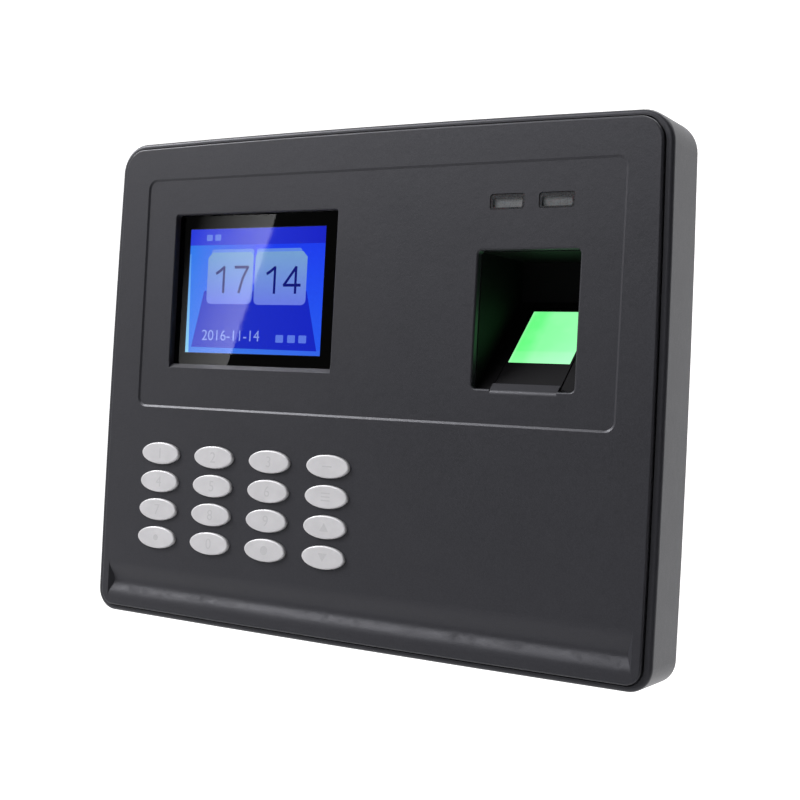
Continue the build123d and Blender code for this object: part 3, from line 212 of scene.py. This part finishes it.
# ---- Finishes ------------------------------------------------------------------------------
def moulded_plastic(name, colour, roughness, grain, depth, gloss=0.5):
    """Moulded plastic with an even spark-eroded grain, faint flow clouds and handling marks."""
    finish = Finish(name, colour, roughness)
    clouds = finish.noise(0.028, 2.0)
    speck = finish.noise(grain * 0.8, 2.0, 0.6)
    base = finish.ramp(clouds, ((0.3, scaled(colour, 0.93)), (0.7, scaled(colour, 1.06))))
    dark = scaled(colour, 0.72)
    light = scaled(colour, 1.35)
    flecks = finish.ramp(speck, ((0.32, dark), (0.5, colour), (0.7, light)))
    finish.colour(finish.blend(0.5, base, flecks))
    worn = finish.noise(0.011, 5.0, 0.65)
    fine = finish.span(speck, -0.05, 0.05, 0.3, 0.7)
    broad = finish.span(worn, roughness - 0.012, roughness + 0.012, 0.3, 0.7)
    finish.roughness(finish.maths("ADD", fine, broad))
    finish.bump(finish.noise(grain, 2.0, 0.55), depth)
    finish.bump(finish.noise(grain * 7, 2.0, 0.5), depth * 1.5)
    finish.set(Specular_Tint=(0.92, 0.92, 1.0, 1.0), Specular_IOR_Level=gloss)
    return finish.material


def key_plastic(name):
    """Silver-grey lacquered key caps: fine metallic flake, a soft orange-peel surface."""
    colour = (0.70, 0.69, 0.715)
    finish = Finish(name, colour, 0.36, metallic=0.08)
    flake = finish.cells(0.00016, output="Color")
    tone = finish.noise(0.004, 3.0)
    base = finish.ramp(tone, ((0.3, scaled(colour, 0.95)), (0.7, scaled(colour, 1.04))))
    finish.colour(finish.blend(0.045, base, flake, "OVERLAY"))
    finish.roughness(finish.span(finish.noise(0.0009, 4.0), 0.30, 0.44, 0.3, 0.7))
    finish.bump(finish.noise(0.0006, 2.0), 0.000006)
    finish.bump(finish.noise(0.00012, 2.0), 0.000003)
    finish.set(Coat_Weight=0.25, Coat_Roughness=0.18)
    return finish.material


def legend_ink(name):
    """Worn grey ink, a little darker than the key caps."""
    finish = Finish(name, (0.58, 0.575, 0.595), 0.45)
    patchy = finish.noise(0.0003, 3.0)
    finish.colour(finish.ramp(patchy, ((0.3, (0.55, 0.545, 0.565)), (0.7, (0.61, 0.605, 0.625)))))
    finish.bump(patchy, 0.000003)
    return finish.material


def clear_acrylic(name):
    """Polished window with faint wipe marks."""
    finish = Finish(name, (0.97, 0.98, 0.98), 0.02)
    wiped = finish.noise(0.006, 4.0, 0.6, finish.stretched((1.0, 1.0, 0.35)))
    finish.roughness(finish.span(wiped, 0.012, 0.05, 0.45, 0.75))
    finish.bump(finish.noise(0.012, 1.0), 0.000004, 0.4)
    finish.set(Transmission_Weight=1.0, IOR=1.49)
    return finish.material


def printed_black(name):
    """Screen-printed black ink on the window's back."""
    finish = Finish(name, (0.006, 0.006, 0.007), 0.35)
    dots = finish.noise(0.00025, 2.0)
    finish.colour(finish.ramp(dots, ((0.35, (0.004, 0.004, 0.005)), (0.7, (0.008, 0.008, 0.009)))))
    finish.roughness(finish.span(dots, 0.3, 0.42))
    finish.bump(dots, 0.000004)
    return finish.material


def lit_prism(name):
    """Polished glass lit from behind: brighter and paler towards the right and the foot."""
    low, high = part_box("sensor_prism")
    finish = Finish(name, (0.08, 0.42, 0.14), 0.06)
    split = finish.add("ShaderNodeSeparateXYZ")
    finish.join(finish.place, split.inputs["Vector"])
    across = finish.span(split.outputs["X"], 0.0, 1.0, low.x, high.x)
    up = finish.span(split.outputs["Z"], 0.0, 1.0, low.z, high.z)
    sheen = finish.ramp(across, (
        (0.0, (0.33, 1.0, 0.42)),
        (0.05, (0.09, 0.98, 0.17)),
        (0.2, (0.10, 0.98, 0.19)),
        (0.36, (0.30, 1.0, 0.41)),
        (1.0, (0.42, 1.0, 0.56)),
    ))
    foot = finish.ramp(up, (
        (0.0, (0.44, 1.0, 0.54)),
        (0.2, (0.34, 1.0, 0.42)),
        (0.24, (0.20, 0.95, 0.28)),
        (1.0, (0.22, 1.0, 0.32)),
    ))
    glow = finish.blend(0.45, sheen, foot)
    haze = finish.noise(0.005, 3.0)
    glow = finish.blend(finish.span(haze, 0.0, 0.16, 0.4, 0.7), glow, (0.5, 1.0, 0.6))
    finish.join(glow, finish.shader.inputs["Emission Color"])
    finish.set(Emission_Strength=1.0, Coat_Weight=0.6, Coat_Roughness=0.04)
    finish.roughness(finish.span(haze, 0.04, 0.12, 0.4, 0.7))
    finish.bump(finish.noise(0.002, 2.0), 0.000002)
    return finish.material


def smoked_pipe(name):
    """Smoked acrylic light pipe: a dark rim round a frosted, paler pocket."""
    rim_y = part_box("light_pipe_left")[0].y
    finish = Finish(name, (0.15, 0.155, 0.165), 0.28)
    frost = finish.noise(0.0004, 3.0)
    cloud = finish.noise(0.003, 2.0)
    pale = finish.ramp(cloud, ((0.3, (0.135, 0.14, 0.148)), (0.7, (0.185, 0.19, 0.20))))
    split = finish.add("ShaderNodeSeparateXYZ")
    finish.join(finish.place, split.inputs["Vector"])
    inward = finish.span(split.outputs["Y"], 0.0, 1.0, rim_y + 0.1 * MM, rim_y + 0.4 * MM)
    finish.colour(finish.blend(inward, (0.03, 0.03, 0.034), pale))
    finish.roughness(finish.span(frost, 0.22, 0.36, 0.3, 0.7))
    finish.bump(frost, 0.000006)
    finish.set(Coat_Weight=0.5, Coat_Roughness=0.12, Subsurface_Weight=0.15, Subsurface_Scale=0.001)
    return finish.material


def metal_sheet(name, colour, roughness, spangle):
    """Plated sheet: crystal spangle, rolling lines and handling scratches."""
    finish = Finish(name, colour, roughness, metallic=1.0)
    grains = finish.cells(spangle, output="Color")
    tone = finish.noise(0.009, 4.0, 0.6)
    base = finish.ramp(tone, ((0.3, scaled(colour, 0.84)), (0.7, scaled(colour, 1.1))))
    crystals = finish.ramp(grains, ((0.1, (0.40, 0.40, 0.41)), (0.9, (0.60, 0.60, 0.60))))
    finish.colour(finish.blend(0.6, base, crystals, "OVERLAY"))
    lines = finish.noise(0.0006, 3.0, 0.6, finish.stretched((0.06, 1.0, 1.0)))
    marks = finish.maths("MULTIPLY", finish.span(lines, 0.0, 0.5, 0.55, 0.8), tone)
    broad = finish.span(tone, roughness - 0.07, roughness + 0.08, 0.3, 0.7)
    finish.roughness(finish.maths("ADD", broad, marks))
    finish.bump(lines, 0.000008)
    finish.bump(finish.noise(0.0002, 2.0), 0.000003)
    return finish.material


def solder_resist(name):
    """Green circuit board: tracks and pads show as relief and tone under the lacquer."""
    finish = Finish(name, (0.012, 0.14, 0.055), 0.3)
    tracks = finish.cells(0.0026, feature="DISTANCE_TO_EDGE")
    on_track = finish.span(tracks, 1.0, 0.0, 0.03, 0.07)
    weave = finish.noise(0.0008, 2.0)
    plain = finish.ramp(weave, ((0.3, (0.010, 0.12, 0.045)), (0.7, (0.016, 0.16, 0.065))))
    finish.colour(finish.blend(on_track, plain, (0.03, 0.25, 0.10)))
    finish.bump(on_track, 0.00003, 0.6)
    finish.bump(weave, 0.000006)
    finish.roughness(finish.span(weave, 0.24, 0.38, 0.3, 0.7))
    finish.set(Coat_Weight=0.4, Coat_Roughness=0.15)
    return finish.material


def fine_plastic(name, colour, roughness, grain=0.0003, gloss=0.0):
    """Small moulded or cast piece with a little tone and surface texture."""
    finish = Finish(name, colour, roughness)
    tone = finish.noise(0.003, 4.0, 0.6)
    texture = finish.noise(grain, 2.0)
    finish.colour(finish.ramp(tone, ((0.3, scaled(colour, 0.86)), (0.7, scaled(colour, 1.1)))))
    finish.roughness(finish.span(texture, max(roughness - 0.08, 0.03), roughness + 0.08, 0.3, 0.7))
    finish.bump(texture, 0.00001)
    finish.set(Coat_Weight=gloss, Coat_Roughness=0.1)
    return finish.material


def screen_paint(name, low_colour, high_colour, axis, start, end):
    """Lit liquid crystal: a gradient between two colours, with the faint mesh of its cells."""
    finish = Finish(name, (0.0, 0.0, 0.0), 0.5)
    split = finish.add("ShaderNodeSeparateXYZ")
    finish.join(finish.place, split.inputs["Vector"])
    along = finish.span(split.outputs[axis], 0.0, 1.0, start, end)
    base = finish.ramp(along, ((0.0, low_colour), (1.0, high_colour)))
    cells = finish.noise(0.0009, 2.0)
    lit = finish.blend(finish.span(cells, 0.0, 0.10, 0.3, 0.7), base, scaled(low_colour, 0.55))
    finish.join(lit, finish.shader.inputs["Emission Color"])
    finish.set(Emission_Strength=1.0, Specular_IOR_Level=0.0)
    return finish.material


# ---- Mesh building -------------------------------------------------------------------------
def piece_from(name, mesh, finish, body=BODY):
    """Makes a finished object that rides on a body and takes the given finish."""
    mesh.materials.clear()
    mesh.materials.append(finish)
    obj = bpy.data.objects.new(name, mesh)
    bpy.context.scene.collection.objects.link(obj)
    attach(obj, body)
    return obj


def plate_mesh(name, outline, front_y, thickness, holes=()):
    """Flat plate from (x, z) outlines in metres, with its front at front_y."""
    work = bmesh.new()
    edges = []
    for loop in (outline, *holes):
        points = [work.verts.new((x, front_y, z)) for x, z in loop]
        edges += [work.edges.new((a, b)) for a, b in zip(points, points[1:] + points[:1])]
    made = bmesh.ops.triangle_fill(work, use_beauty=True, use_dissolve=False, edges=edges)
    faces = [item for item in made["geom"] if isinstance(item, bmesh.types.BMFace)]
    grown = bmesh.ops.extrude_face_region(work, geom=faces)
    back = [item for item in grown["geom"] if isinstance(item, bmesh.types.BMVert)]
    bmesh.ops.translate(work, verts=back, vec=(0, thickness, 0))
    bmesh.ops.recalc_face_normals(work, faces=work.faces)
    mesh = bpy.data.meshes.new(name)
    work.to_mesh(mesh)
    work.free()
    return mesh


def rounded(x_low, x_high, z_low, z_high, radius, steps=6, cuts=()):
    """Rectangle outline with rounded corners; corners named in cuts are cut off straight."""
    centres = (
        ("bottom_left", x_low + radius, z_low + radius, math.pi),
        ("bottom_right", x_high - radius, z_low + radius, 1.5 * math.pi),
        ("top_right", x_high - radius, z_high - radius, 0.0),
        ("top_left", x_low + radius, z_high - radius, 0.5 * math.pi),
    )
    points = []
    for corner, x, z, start in centres:
        count = 1 if corner in cuts else steps
        for step in range(count + 1):
            angle = start + step / count * math.pi / 2
            points.append((x + radius * math.cos(angle), z + radius * math.sin(angle)))
    return points


def text_mesh(name, words, height, thickness, width=None):
    """Solid digits centred on the origin in X and Z, reading from -Y, as tall and wide as stated."""
    curve = bpy.data.curves.new(name, "FONT")
    curve.body = words
    curve.align_x = "CENTER"
    curve.resolution_u = 4
    curve.extrude = 0.5
    holder = bpy.data.objects.new(name, curve)
    bpy.context.scene.collection.objects.link(holder)
    graph = bpy.context.evaluated_depsgraph_get()
    mesh = bpy.data.meshes.new_from_object(holder.evaluated_get(graph))
    bpy.data.objects.remove(holder)
    xs = [vert.co.x for vert in mesh.vertices]
    ys = [vert.co.y for vert in mesh.vertices]
    scale = height / (max(ys) - min(ys))
    stretch = width / (max(xs) - min(xs)) if width else scale
    middle = Vector(((max(xs) + min(xs)) / 2, (max(ys) + min(ys)) / 2, 0))
    upright = Matrix(((stretch, 0, 0, 0), (0, 0, -thickness, 0), (0, scale, 0, 0), (0, 0, 0, 1)))
    mesh.transform(upright @ Matrix.Translation(-middle))
    mesh.name = name
    return mesh


def stroke_mesh(name, lines, width, front_y, thickness):
    """Flat bars of one width along polylines of (x, z) points, joined in one mesh."""
    work = bmesh.new()
    for line in lines:
        for (x0, z0), (x1, z1) in zip(line, line[1:]):
            along = Vector((x1 - x0, z1 - z0)).normalized() * width / 2
            side = Vector((-along.y, along.x))
            start = Vector((x0, z0)) - along * 0.6
            end = Vector((x1, z1)) + along * 0.6
            outline = [tuple(point) for point in (start - side, end - side, end + side, start + side)]
            bar = plate_mesh("bar", outline, front_y, thickness)
            work.from_mesh(bar)
            bpy.data.meshes.remove(bar)
    mesh = bpy.data.meshes.new(name)
    work.to_mesh(mesh)
    work.free()
    return mesh


# ---- CAD nodes' finishes -------------------------------------------------------------------
def finish_frame_nodes():
    """Gives every CAD node the finish of its slot."""
    case_colour = (0.026, 0.026, 0.031)
    guide_colour = (0.0045, 0.0042, 0.0046)
    case = moulded_plastic("case_plastic", case_colour, 0.43, 0.00034, 0.000022)
    guide = moulded_plastic("guide_plastic", guide_colour, 0.62, 0.0003, 0.000012, gloss=0.2)
    board = solder_resist("circuit_board")
    black = fine_plastic("black_plastic", (0.015, 0.015, 0.016), 0.42)
    bright = metal_sheet("bright_steel", (0.70, 0.70, 0.71), 0.26, 0.0012)
    zinc = metal_sheet("zinc_steel", (0.46, 0.47, 0.49), 0.40, 0.0032)
    screw = metal_sheet("screw_steel", (0.36, 0.36, 0.38), 0.30, 0.0010)
    pipe = smoked_pipe("smoked_pipe")
    cream = fine_plastic("cream_nylon", (0.72, 0.68, 0.58), 0.45)
    white = fine_plastic("white_plastic", (0.80, 0.80, 0.78), 0.35, gloss=0.2)
    sleeve = fine_plastic("wire_sleeve", (0.018, 0.018, 0.018), 0.5)
    cable = fine_plastic("flat_cable", (0.74, 0.75, 0.76), 0.4, gloss=0.3)
    chips = fine_plastic("chip_epoxy", (0.022, 0.022, 0.024), 0.55, 0.00015)
    by_slot = {
        "case_plastic": case,
        "guide_plastic": guide,
        "key_plastic": key_plastic("key_plastic"),
        "window_glass": clear_acrylic("clear_acrylic"),
        "prism_glass": lit_prism("lit_prism"),
        "lcd_glass": fine_plastic("display_glass", (0.01, 0.02, 0.12), 0.15, gloss=0.6),
        "backlight_plastic": white,
        "light_pipe": pipe,
        "led_lens": fine_plastic("lamp_lens", (0.80, 0.80, 0.72), 0.3, gloss=0.4),
        "circuit_board": board,
        "chip_black": chips,
        "lens_black": black,
        "socket_plastic": cream,
        "tongue_plastic": white,
        "flat_cable": cable,
        "flex_film": fine_plastic("polyimide_film", (0.55, 0.26, 0.04), 0.25, gloss=0.5),
        "wire_sleeve": sleeve,
        "tape_black": fine_plastic("black_tape", (0.02, 0.02, 0.02), 0.6),
        "speaker_film": fine_plastic("speaker_film", (0.10, 0.10, 0.11), 0.3, gloss=0.3),
        "silicone": fine_plastic("silicone", (0.30, 0.31, 0.33), 0.6),
        "capacitor_sleeve": metal_sheet("capacitor_can", (0.50, 0.51, 0.56), 0.3, 0.002),
        "cell_steel": metal_sheet("cell_steel", (0.74, 0.74, 0.73), 0.16, 0.004),
        "bright_steel": bright,
        "screw_steel": screw,
        "zinc_steel": zinc,
    }
    slots = {entry["node"]: entry["material_slot"] for entry in frame["record"]["subparts"]}
    for node, obj in frame["nodes"].items():
        obj.data.materials.clear()
        obj.data.materials.append(by_slot[slots[node]])


# ---- Display -------------------------------------------------------------------------------
def make_window_print(ink):
    """Black border printed on the window's back, round the lit area."""
    low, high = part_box("display_window")
    centre = lit_centre()
    reach_x = LIT_HALF_WIDTH + PRINT_MARGIN
    reach_z = LIT_HALF_HEIGHT + PRINT_MARGIN
    outer = rounded(low.x, high.x, low.z, high.z, PRINT_CORNER_R)
    inner = rounded(centre.x - reach_x, centre.x + reach_x, centre.z - reach_z, centre.z + reach_z,
                    PRINT_LIT_CORNER_R, 2)
    mesh = plate_mesh("window_print", outer, high.y, PRINT_THICKNESS, [inner])
    piece_from("window_print", mesh, ink)


def front_middle(node):
    """Middle of a node's front, which is flat on the display panel and on the keys."""
    low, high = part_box(node)
    return Vector(((low.x + high.x) / 2, low.y, (low.z + high.z) / 2))


def lit_centre():
    return front_middle("lcd_panel")


def make_screen():
    """The clock picture: thin lit sheets, one in front of the other."""
    centre = lit_centre()
    left = centre.x - LIT_HALF_WIDTH
    bottom = centre.z - LIT_HALF_HEIGHT
    width = 2 * LIT_HALF_WIDTH
    height = 2 * LIT_HALF_HEIGHT
    right = left + width
    top = bottom + height
    level = itertools.count(1)

    def at(u, v):
        """Point (x, z) from its share of the lit width and height."""
        return (left + u * width, bottom + v * height)

    def next_front():
        return centre.y - next(level) * LEVEL

    def sheet(name, outline, paint):
        mesh = plate_mesh(name, outline, next_front(), SHEET_THICKNESS)
        piece_from(name, mesh, paint)

    def box(u_low, u_high, v_low, v_high, radius=0.02 * MM, cuts=()):
        x_low, z_low = at(u_low, v_low)
        x_high, z_high = at(u_high, v_high)
        return rounded(x_low, x_high, z_low, z_high, radius, cuts=cuts)

    def words(name, text, u, v, wide, tall, paint):
        mesh = text_mesh(name, text, tall * height, MARK_THICKNESS, wide * width)
        x, z = at(u, v)
        mesh.transform(Matrix.Translation((x, next_front(), z)))
        piece_from(name, mesh, paint)

    def strokes(name, u, v, wide, tall, lines, weight, paint):
        points = [[at(u + wide * a, v + tall * b) for a, b in line] for line in lines]
        mesh = stroke_mesh(name, points, weight, next_front(), MARK_THICKNESS)
        piece_from(name, mesh, paint)

    def gradient(name, low_colour, high_colour, axis, start=None, end=None):
        """Paint that changes across the lit area, or between two stated places."""
        edges = (left, right) if axis == "X" else (bottom, top)
        first = edges[0] if start is None else start
        last = edges[1] if end is None else end
        return screen_paint(name, low_colour, high_colour, axis, first, last)

    x_mid = at(0.5, 0)[0]
    left_sky = gradient("screen_sky_left", (0.03, 0.22, 0.95), (0.012, 0.06, 0.90), "X", left, x_mid)
    right_sky = gradient("screen_sky_right", (0.010, 0.04, 0.95), (0.022, 0.12, 0.98), "Z", top, bottom)
    sheet("screen_sky_left", box(0.0, 0.5, 0.0, 0.87), left_sky)
    sheet("screen_sky_right", box(0.5, 1.0, 0.0, 0.87), right_sky)
    bar = gradient("screen_bar", (0.025, 0.05, 0.80), (0.008, 0.016, 0.62), "X")
    sheet("screen_bar", box(0.0, 1.0, 0.87, 1.0), bar)
    glow = gradient("screen_glow", (0.055, 0.24, 0.88), (0.035, 0.14, 0.92), "X")
    sheet("screen_glow", [at(0, 0), at(1, 0), at(1, 0.042), at(0.0, 0.042)], glow)
    edge = gradient("screen_edge", (0.26, 0.66, 0.95), (0.05, 0.25, 0.95), "Z")
    sheet("screen_edge", [at(0, 0), at(0.025, 0), at(0.010, 0.8), at(0.0, 0.8)], edge)
    table_paint = gradient("screen_table", (0.015, 0.035, 0.62), (0.006, 0.018, 0.60), "X")
    table = [at(0.045, 0.045), at(0.975, 0.035), at(0.885, 0.5), at(0.125, 0.5)]
    sheet("screen_table", table, table_paint)
    back_card = gradient("screen_card_back", (0.06, 0.14, 0.90), (0.14, 0.30, 0.88), "Z")
    sheet("screen_card_back_left", box(0.17, 0.49, 0.42, 0.835, BACK_CARD_CORNER_R), back_card)
    sheet("screen_card_back_right", box(0.51, 0.84, 0.42, 0.835, BACK_CARD_CORNER_R), back_card)
    card_foot = at(0, 0.39)[1]
    card_top = at(0, 0.80)[1]
    card = gradient("screen_card", (0.16, 0.22, 0.88), (0.20, 0.40, 0.72), "Z", card_foot, card_top)
    sheet("screen_card_left", box(0.145, 0.487, 0.395, 0.81, CARD_CORNER_R, cuts=("top_left",)), card)
    sheet("screen_card_right", box(0.503, 0.88, 0.39, 0.81, CARD_CORNER_R, cuts=("top_right",)), card)
    ink = gradient("screen_ink", (0.004, 0.008, 0.22), (0.003, 0.006, 0.18), "Z")
    one = [[(0.0, 0.76), (0.32, 0.84), (0.80, 1.0), (0.80, 0.0)]]
    seven = [[(0.0, 1.0), (1.0, 1.0), (0.62, 0.55), (0.36, 0.0)]]
    four = [[(0.72, 0.0), (0.72, 1.0), (0.0, 0.30), (1.0, 0.30)]]
    strokes("screen_hours_1", 0.215, 0.49, 0.07, 0.20, one, DIGIT_STROKE, ink)
    strokes("screen_hours_7", 0.355, 0.49, 0.095, 0.20, seven, DIGIT_STROKE, ink)
    strokes("screen_minutes_1", 0.595, 0.485, 0.07, 0.20, one, DIGIT_STROKE, ink)
    strokes("screen_minutes_4", 0.72, 0.485, 0.115, 0.20, four, DIGIT_STROKE, ink)
    pale = gradient("screen_pale", (0.30, 0.40, 0.90), (0.24, 0.33, 0.88), "X")
    words("screen_date", "2016-11-14", 0.343, 0.143, 0.435, 0.085, pale)
    dim = gradient("screen_dim", (0.14, 0.24, 0.88), (0.11, 0.20, 0.86), "X")
    for index, u in enumerate((0.68, 0.765, 0.845)):
        sheet(f"screen_day_mark_{index + 1}", box(u, u + 0.055, 0.095, 0.155, BLOCK_CORNER_R), dim)
    for index, u in enumerate((0.125, 0.19)):
        sheet(f"screen_title_mark_{index + 1}", box(u, u + 0.045, 0.905, 0.955, BLOCK_CORNER_R), dim)


# ---- Key legends ---------------------------------------------------------------------------
def make_key_legends(ink):
    for digit in DIGITS:
        node = f"key_{digit}"
        lay_legend(node, text_mesh(f"legend_{node}", digit, DIGIT_HEIGHT, INK_THICKNESS), ink)
    marks = {
        "key_up": [triangle(1.5 * MM, 1)],
        "key_down": [triangle(1.5 * MM, -1)],
        "key_menu": [ink_bar(1.5 * MM, z) for z in (-MM, 0, MM)],
        "key_exit": [ink_bar(1.6 * MM, 0)],
        "key_ok": [dot(1.3 * MM)],
        "key_power": [dot(0.9 * MM)],
    }
    for node, outlines in marks.items():
        work = bmesh.new()
        for outline in outlines:
            part = plate_mesh("part", outline, INK_FRONT, INK_THICKNESS)
            work.from_mesh(part)
            bpy.data.meshes.remove(part)
        mesh = bpy.data.meshes.new(f"legend_{node}")
        work.to_mesh(mesh)
        work.free()
        lay_legend(node, mesh, ink)


def ink_bar(half_length, z):
    """Outline of a short bar of ink, level on the key."""
    return rounded(-half_length, half_length, z - INK_BAR / 2, z + INK_BAR / 2, INK_BAR_CORNER_R)


def triangle(size, up):
    """Outline of a triangle that points up (1) or down (-1)."""
    return [(-size, -up * size * 0.8), (size, -up * size * 0.8), (0, up * size * 0.8)]


def dot(radius):
    """Outline of a round dot."""
    angles = [2 * math.pi * step / DOT_POINTS for step in range(DOT_POINTS)]
    return [(radius * math.cos(angle), radius * math.sin(angle)) for angle in angles]


def lay_legend(node, mesh, ink):
    """Puts a legend on a key's top, where only a film of ink stands proud."""
    mesh.transform(Matrix.Translation(front_middle(node) + Vector((0, INK_SUNK, 0))))
    piece_from(mesh.name, mesh, ink, node)


# ---- Studio --------------------------------------------------------------------------------
CAMERA_FROM_FRONT = Vector((0.2069, -0.3145, -0.0053))
CAMERA_YAW = math.radians(31.27)
CAMERA_PITCH = math.radians(0.34)
CAMERA_ROLL = math.radians(3.0)
CAMERA_LENS = 61.8
CAMERA_SENSOR = 36.0

# Each lamp's name, place, size and power
LAMPS = (
    ("high_left_lamp", (-1.15, -0.65, 1.0), (0.7, 0.6), 26.0),
    ("front_lamp", (-0.69, -0.985, 1.2), (0.7, 0.6), 5.0),
    ("left_lamp", (-1.4, -0.7, 0.0), (0.8, 0.8), 2.2),
    ("fill_lamp", (-0.6, -1.6, 0.9), (0.6, 0.4), 4.5),
    ("top_lamp", (0.2, 0.3, 1.1), (1.0, 0.6), 12.0),
)
WORLD = 0.05

# The floor's own light grows from the first strength to the second between two Y values
FLOOR_GLOW = (0.0, 0.85)
FLOOR_GLOW_Y = (-0.2, 0.6)
FLOOR_DROP = 0.42
FLOOR_HALF_WIDTH = 4.0
FLOOR_FRONT_Y = -4.0
BEND_START_Y = 1.2
BEND_RADIUS = 0.8
BEND_STEPS = 12
BACKDROP_TOP = 4.0

# Right edge of the panel that the window mirrors, how wide the panel is and where its light starts
GLARE_EDGE = (Vector((-0.5345, -0.63, -0.01)), Vector((-0.4690, -0.63, 0.18)))
GLARE_WIDTH = 0.12
GLARE_START = 0.35
GLARE_POWER = 0.15


def make_camera():
    """Camera at the right of the terminal, level with its middle and rolled a little."""
    data = bpy.data.cameras.new("camera")
    data.lens = CAMERA_LENS
    data.sensor_width = CAMERA_SENSOR
    camera = bpy.data.objects.new("camera", data)
    bpy.context.scene.collection.objects.link(camera)
    reach = math.cos(CAMERA_PITCH)
    look = Vector((
        -math.sin(CAMERA_YAW) * reach,
        math.cos(CAMERA_YAW) * reach,
        math.sin(CAMERA_PITCH),
    ))
    level = Vector((math.cos(CAMERA_YAW), math.sin(CAMERA_YAW), 0))
    over = level.cross(look)
    right = level * math.cos(CAMERA_ROLL) + over * math.sin(CAMERA_ROLL)
    up = over * math.cos(CAMERA_ROLL) - level * math.sin(CAMERA_ROLL)
    turn = Matrix((right, up, -look)).transposed().to_4x4()
    cover_front = Vector((0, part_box("front_cover")[0].y, 0))
    camera.matrix_world = Matrix.Translation(cover_front + CAMERA_FROM_FRONT) @ turn
    bpy.context.scene.camera = camera


def area_light(name, place, target, size, power):
    data = bpy.data.lights.new(name, "AREA")
    data.shape = "RECTANGLE"
    data.size, data.size_y = size
    data.energy = power
    light = bpy.data.objects.new(name, data)
    bpy.context.scene.collection.objects.link(light)
    light.location = place
    light.rotation_euler = (Vector(target) - Vector(place)).to_track_quat("-Z", "Y").to_euler()
    return light


def make_studio():
    """Pale floor that sweeps up into a backdrop, and soft lamps."""
    world = bpy.data.worlds.new("studio")
    bpy.context.scene.world = world
    world.use_nodes = True
    world.node_tree.nodes["Background"].inputs["Color"].default_value = (1, 1, 1, 1)
    world.node_tree.nodes["Background"].inputs["Strength"].default_value = WORLD
    bpy.context.scene.view_settings.view_transform = "Standard"
    make_sweep()
    make_glare_lamp()
    for name, place, size, power in LAMPS:
        area_light(name, place, (0, 0, 0), size, power)


def make_sweep():
    """Floor with a curved rise behind the object, lit more strongly towards the back."""
    floor_z = cad_low.z - FLOOR_DROP
    angles = [math.pi / 2 * step / BEND_STEPS for step in range(1, BEND_STEPS + 1)]
    profile = [(FLOOR_FRONT_Y, 0.0), (BEND_START_Y, 0.0)]
    for angle in angles:
        rise = BEND_RADIUS - BEND_RADIUS * math.cos(angle)
        profile.append((BEND_START_Y + BEND_RADIUS * math.sin(angle), rise))
    profile.append((BEND_START_Y + BEND_RADIUS, BACKDROP_TOP))
    mesh = bpy.data.meshes.new("sweep")
    sides = (-FLOOR_HALF_WIDTH, FLOOR_HALF_WIDTH)
    verts = [(x, y, floor_z + z) for y, z in profile for x in sides]
    faces = [(2 * i, 2 * i + 1, 2 * i + 3, 2 * i + 2) for i in range(len(profile) - 1)]
    mesh.from_pydata(verts, [], faces)
    mesh.shade_smooth()
    finish = Finish("sweep_paper", (0.6, 0.6, 0.6), 0.8)
    finish.bump(finish.noise(0.004, 3.0), 0.00005)
    split = finish.add("ShaderNodeSeparateXYZ")
    finish.join(finish.place, split.inputs["Vector"])
    glow = finish.span(split.outputs["Y"], *FLOOR_GLOW, *FLOOR_GLOW_Y)
    finish.join(glow, finish.shader.inputs["Emission Strength"])
    finish.set(Emission_Color=(1, 1, 1, 1))
    mesh.materials.append(finish.material)
    sweep = bpy.data.objects.new("sweep", mesh)
    bpy.context.scene.collection.objects.link(sweep)


def make_glare_lamp():
    """Dim panel at the left that the window mirrors across its left half; it fades to its left."""
    low, high = GLARE_EDGE
    edge = high - low
    lean = math.atan2(edge.x, edge.z)
    across = Vector((math.cos(lean), 0, -math.sin(lean)))
    centre = (low + high) / 2 - across * GLARE_WIDTH / 2
    lamp = area_light("glare_lamp", centre, (0, 0, 0), (GLARE_WIDTH, edge.length), GLARE_POWER)
    lamp.rotation_euler = (math.radians(90), lean, 0.0)
    lamp.data.use_nodes = True
    tree = lamp.data.node_tree
    emission = tree.nodes["Emission"]
    split = tree.nodes.new("ShaderNodeSeparateXYZ")
    geometry = tree.nodes.new("ShaderNodeNewGeometry")
    tree.links.new(geometry.outputs["Parametric"], split.inputs["Vector"])
    fade = tree.nodes.new("ShaderNodeMapRange")
    fade.inputs["From Min"].default_value = GLARE_START
    tree.links.new(split.outputs["X"], fade.inputs["Value"])
    tree.links.new(fade.outputs["Result"], emission.inputs["Strength"])


finish_frame_nodes()
make_window_print(printed_black("printed_black"))
make_screen()
make_key_legends(legend_ink("legend_ink"))
make_camera()
make_studio()
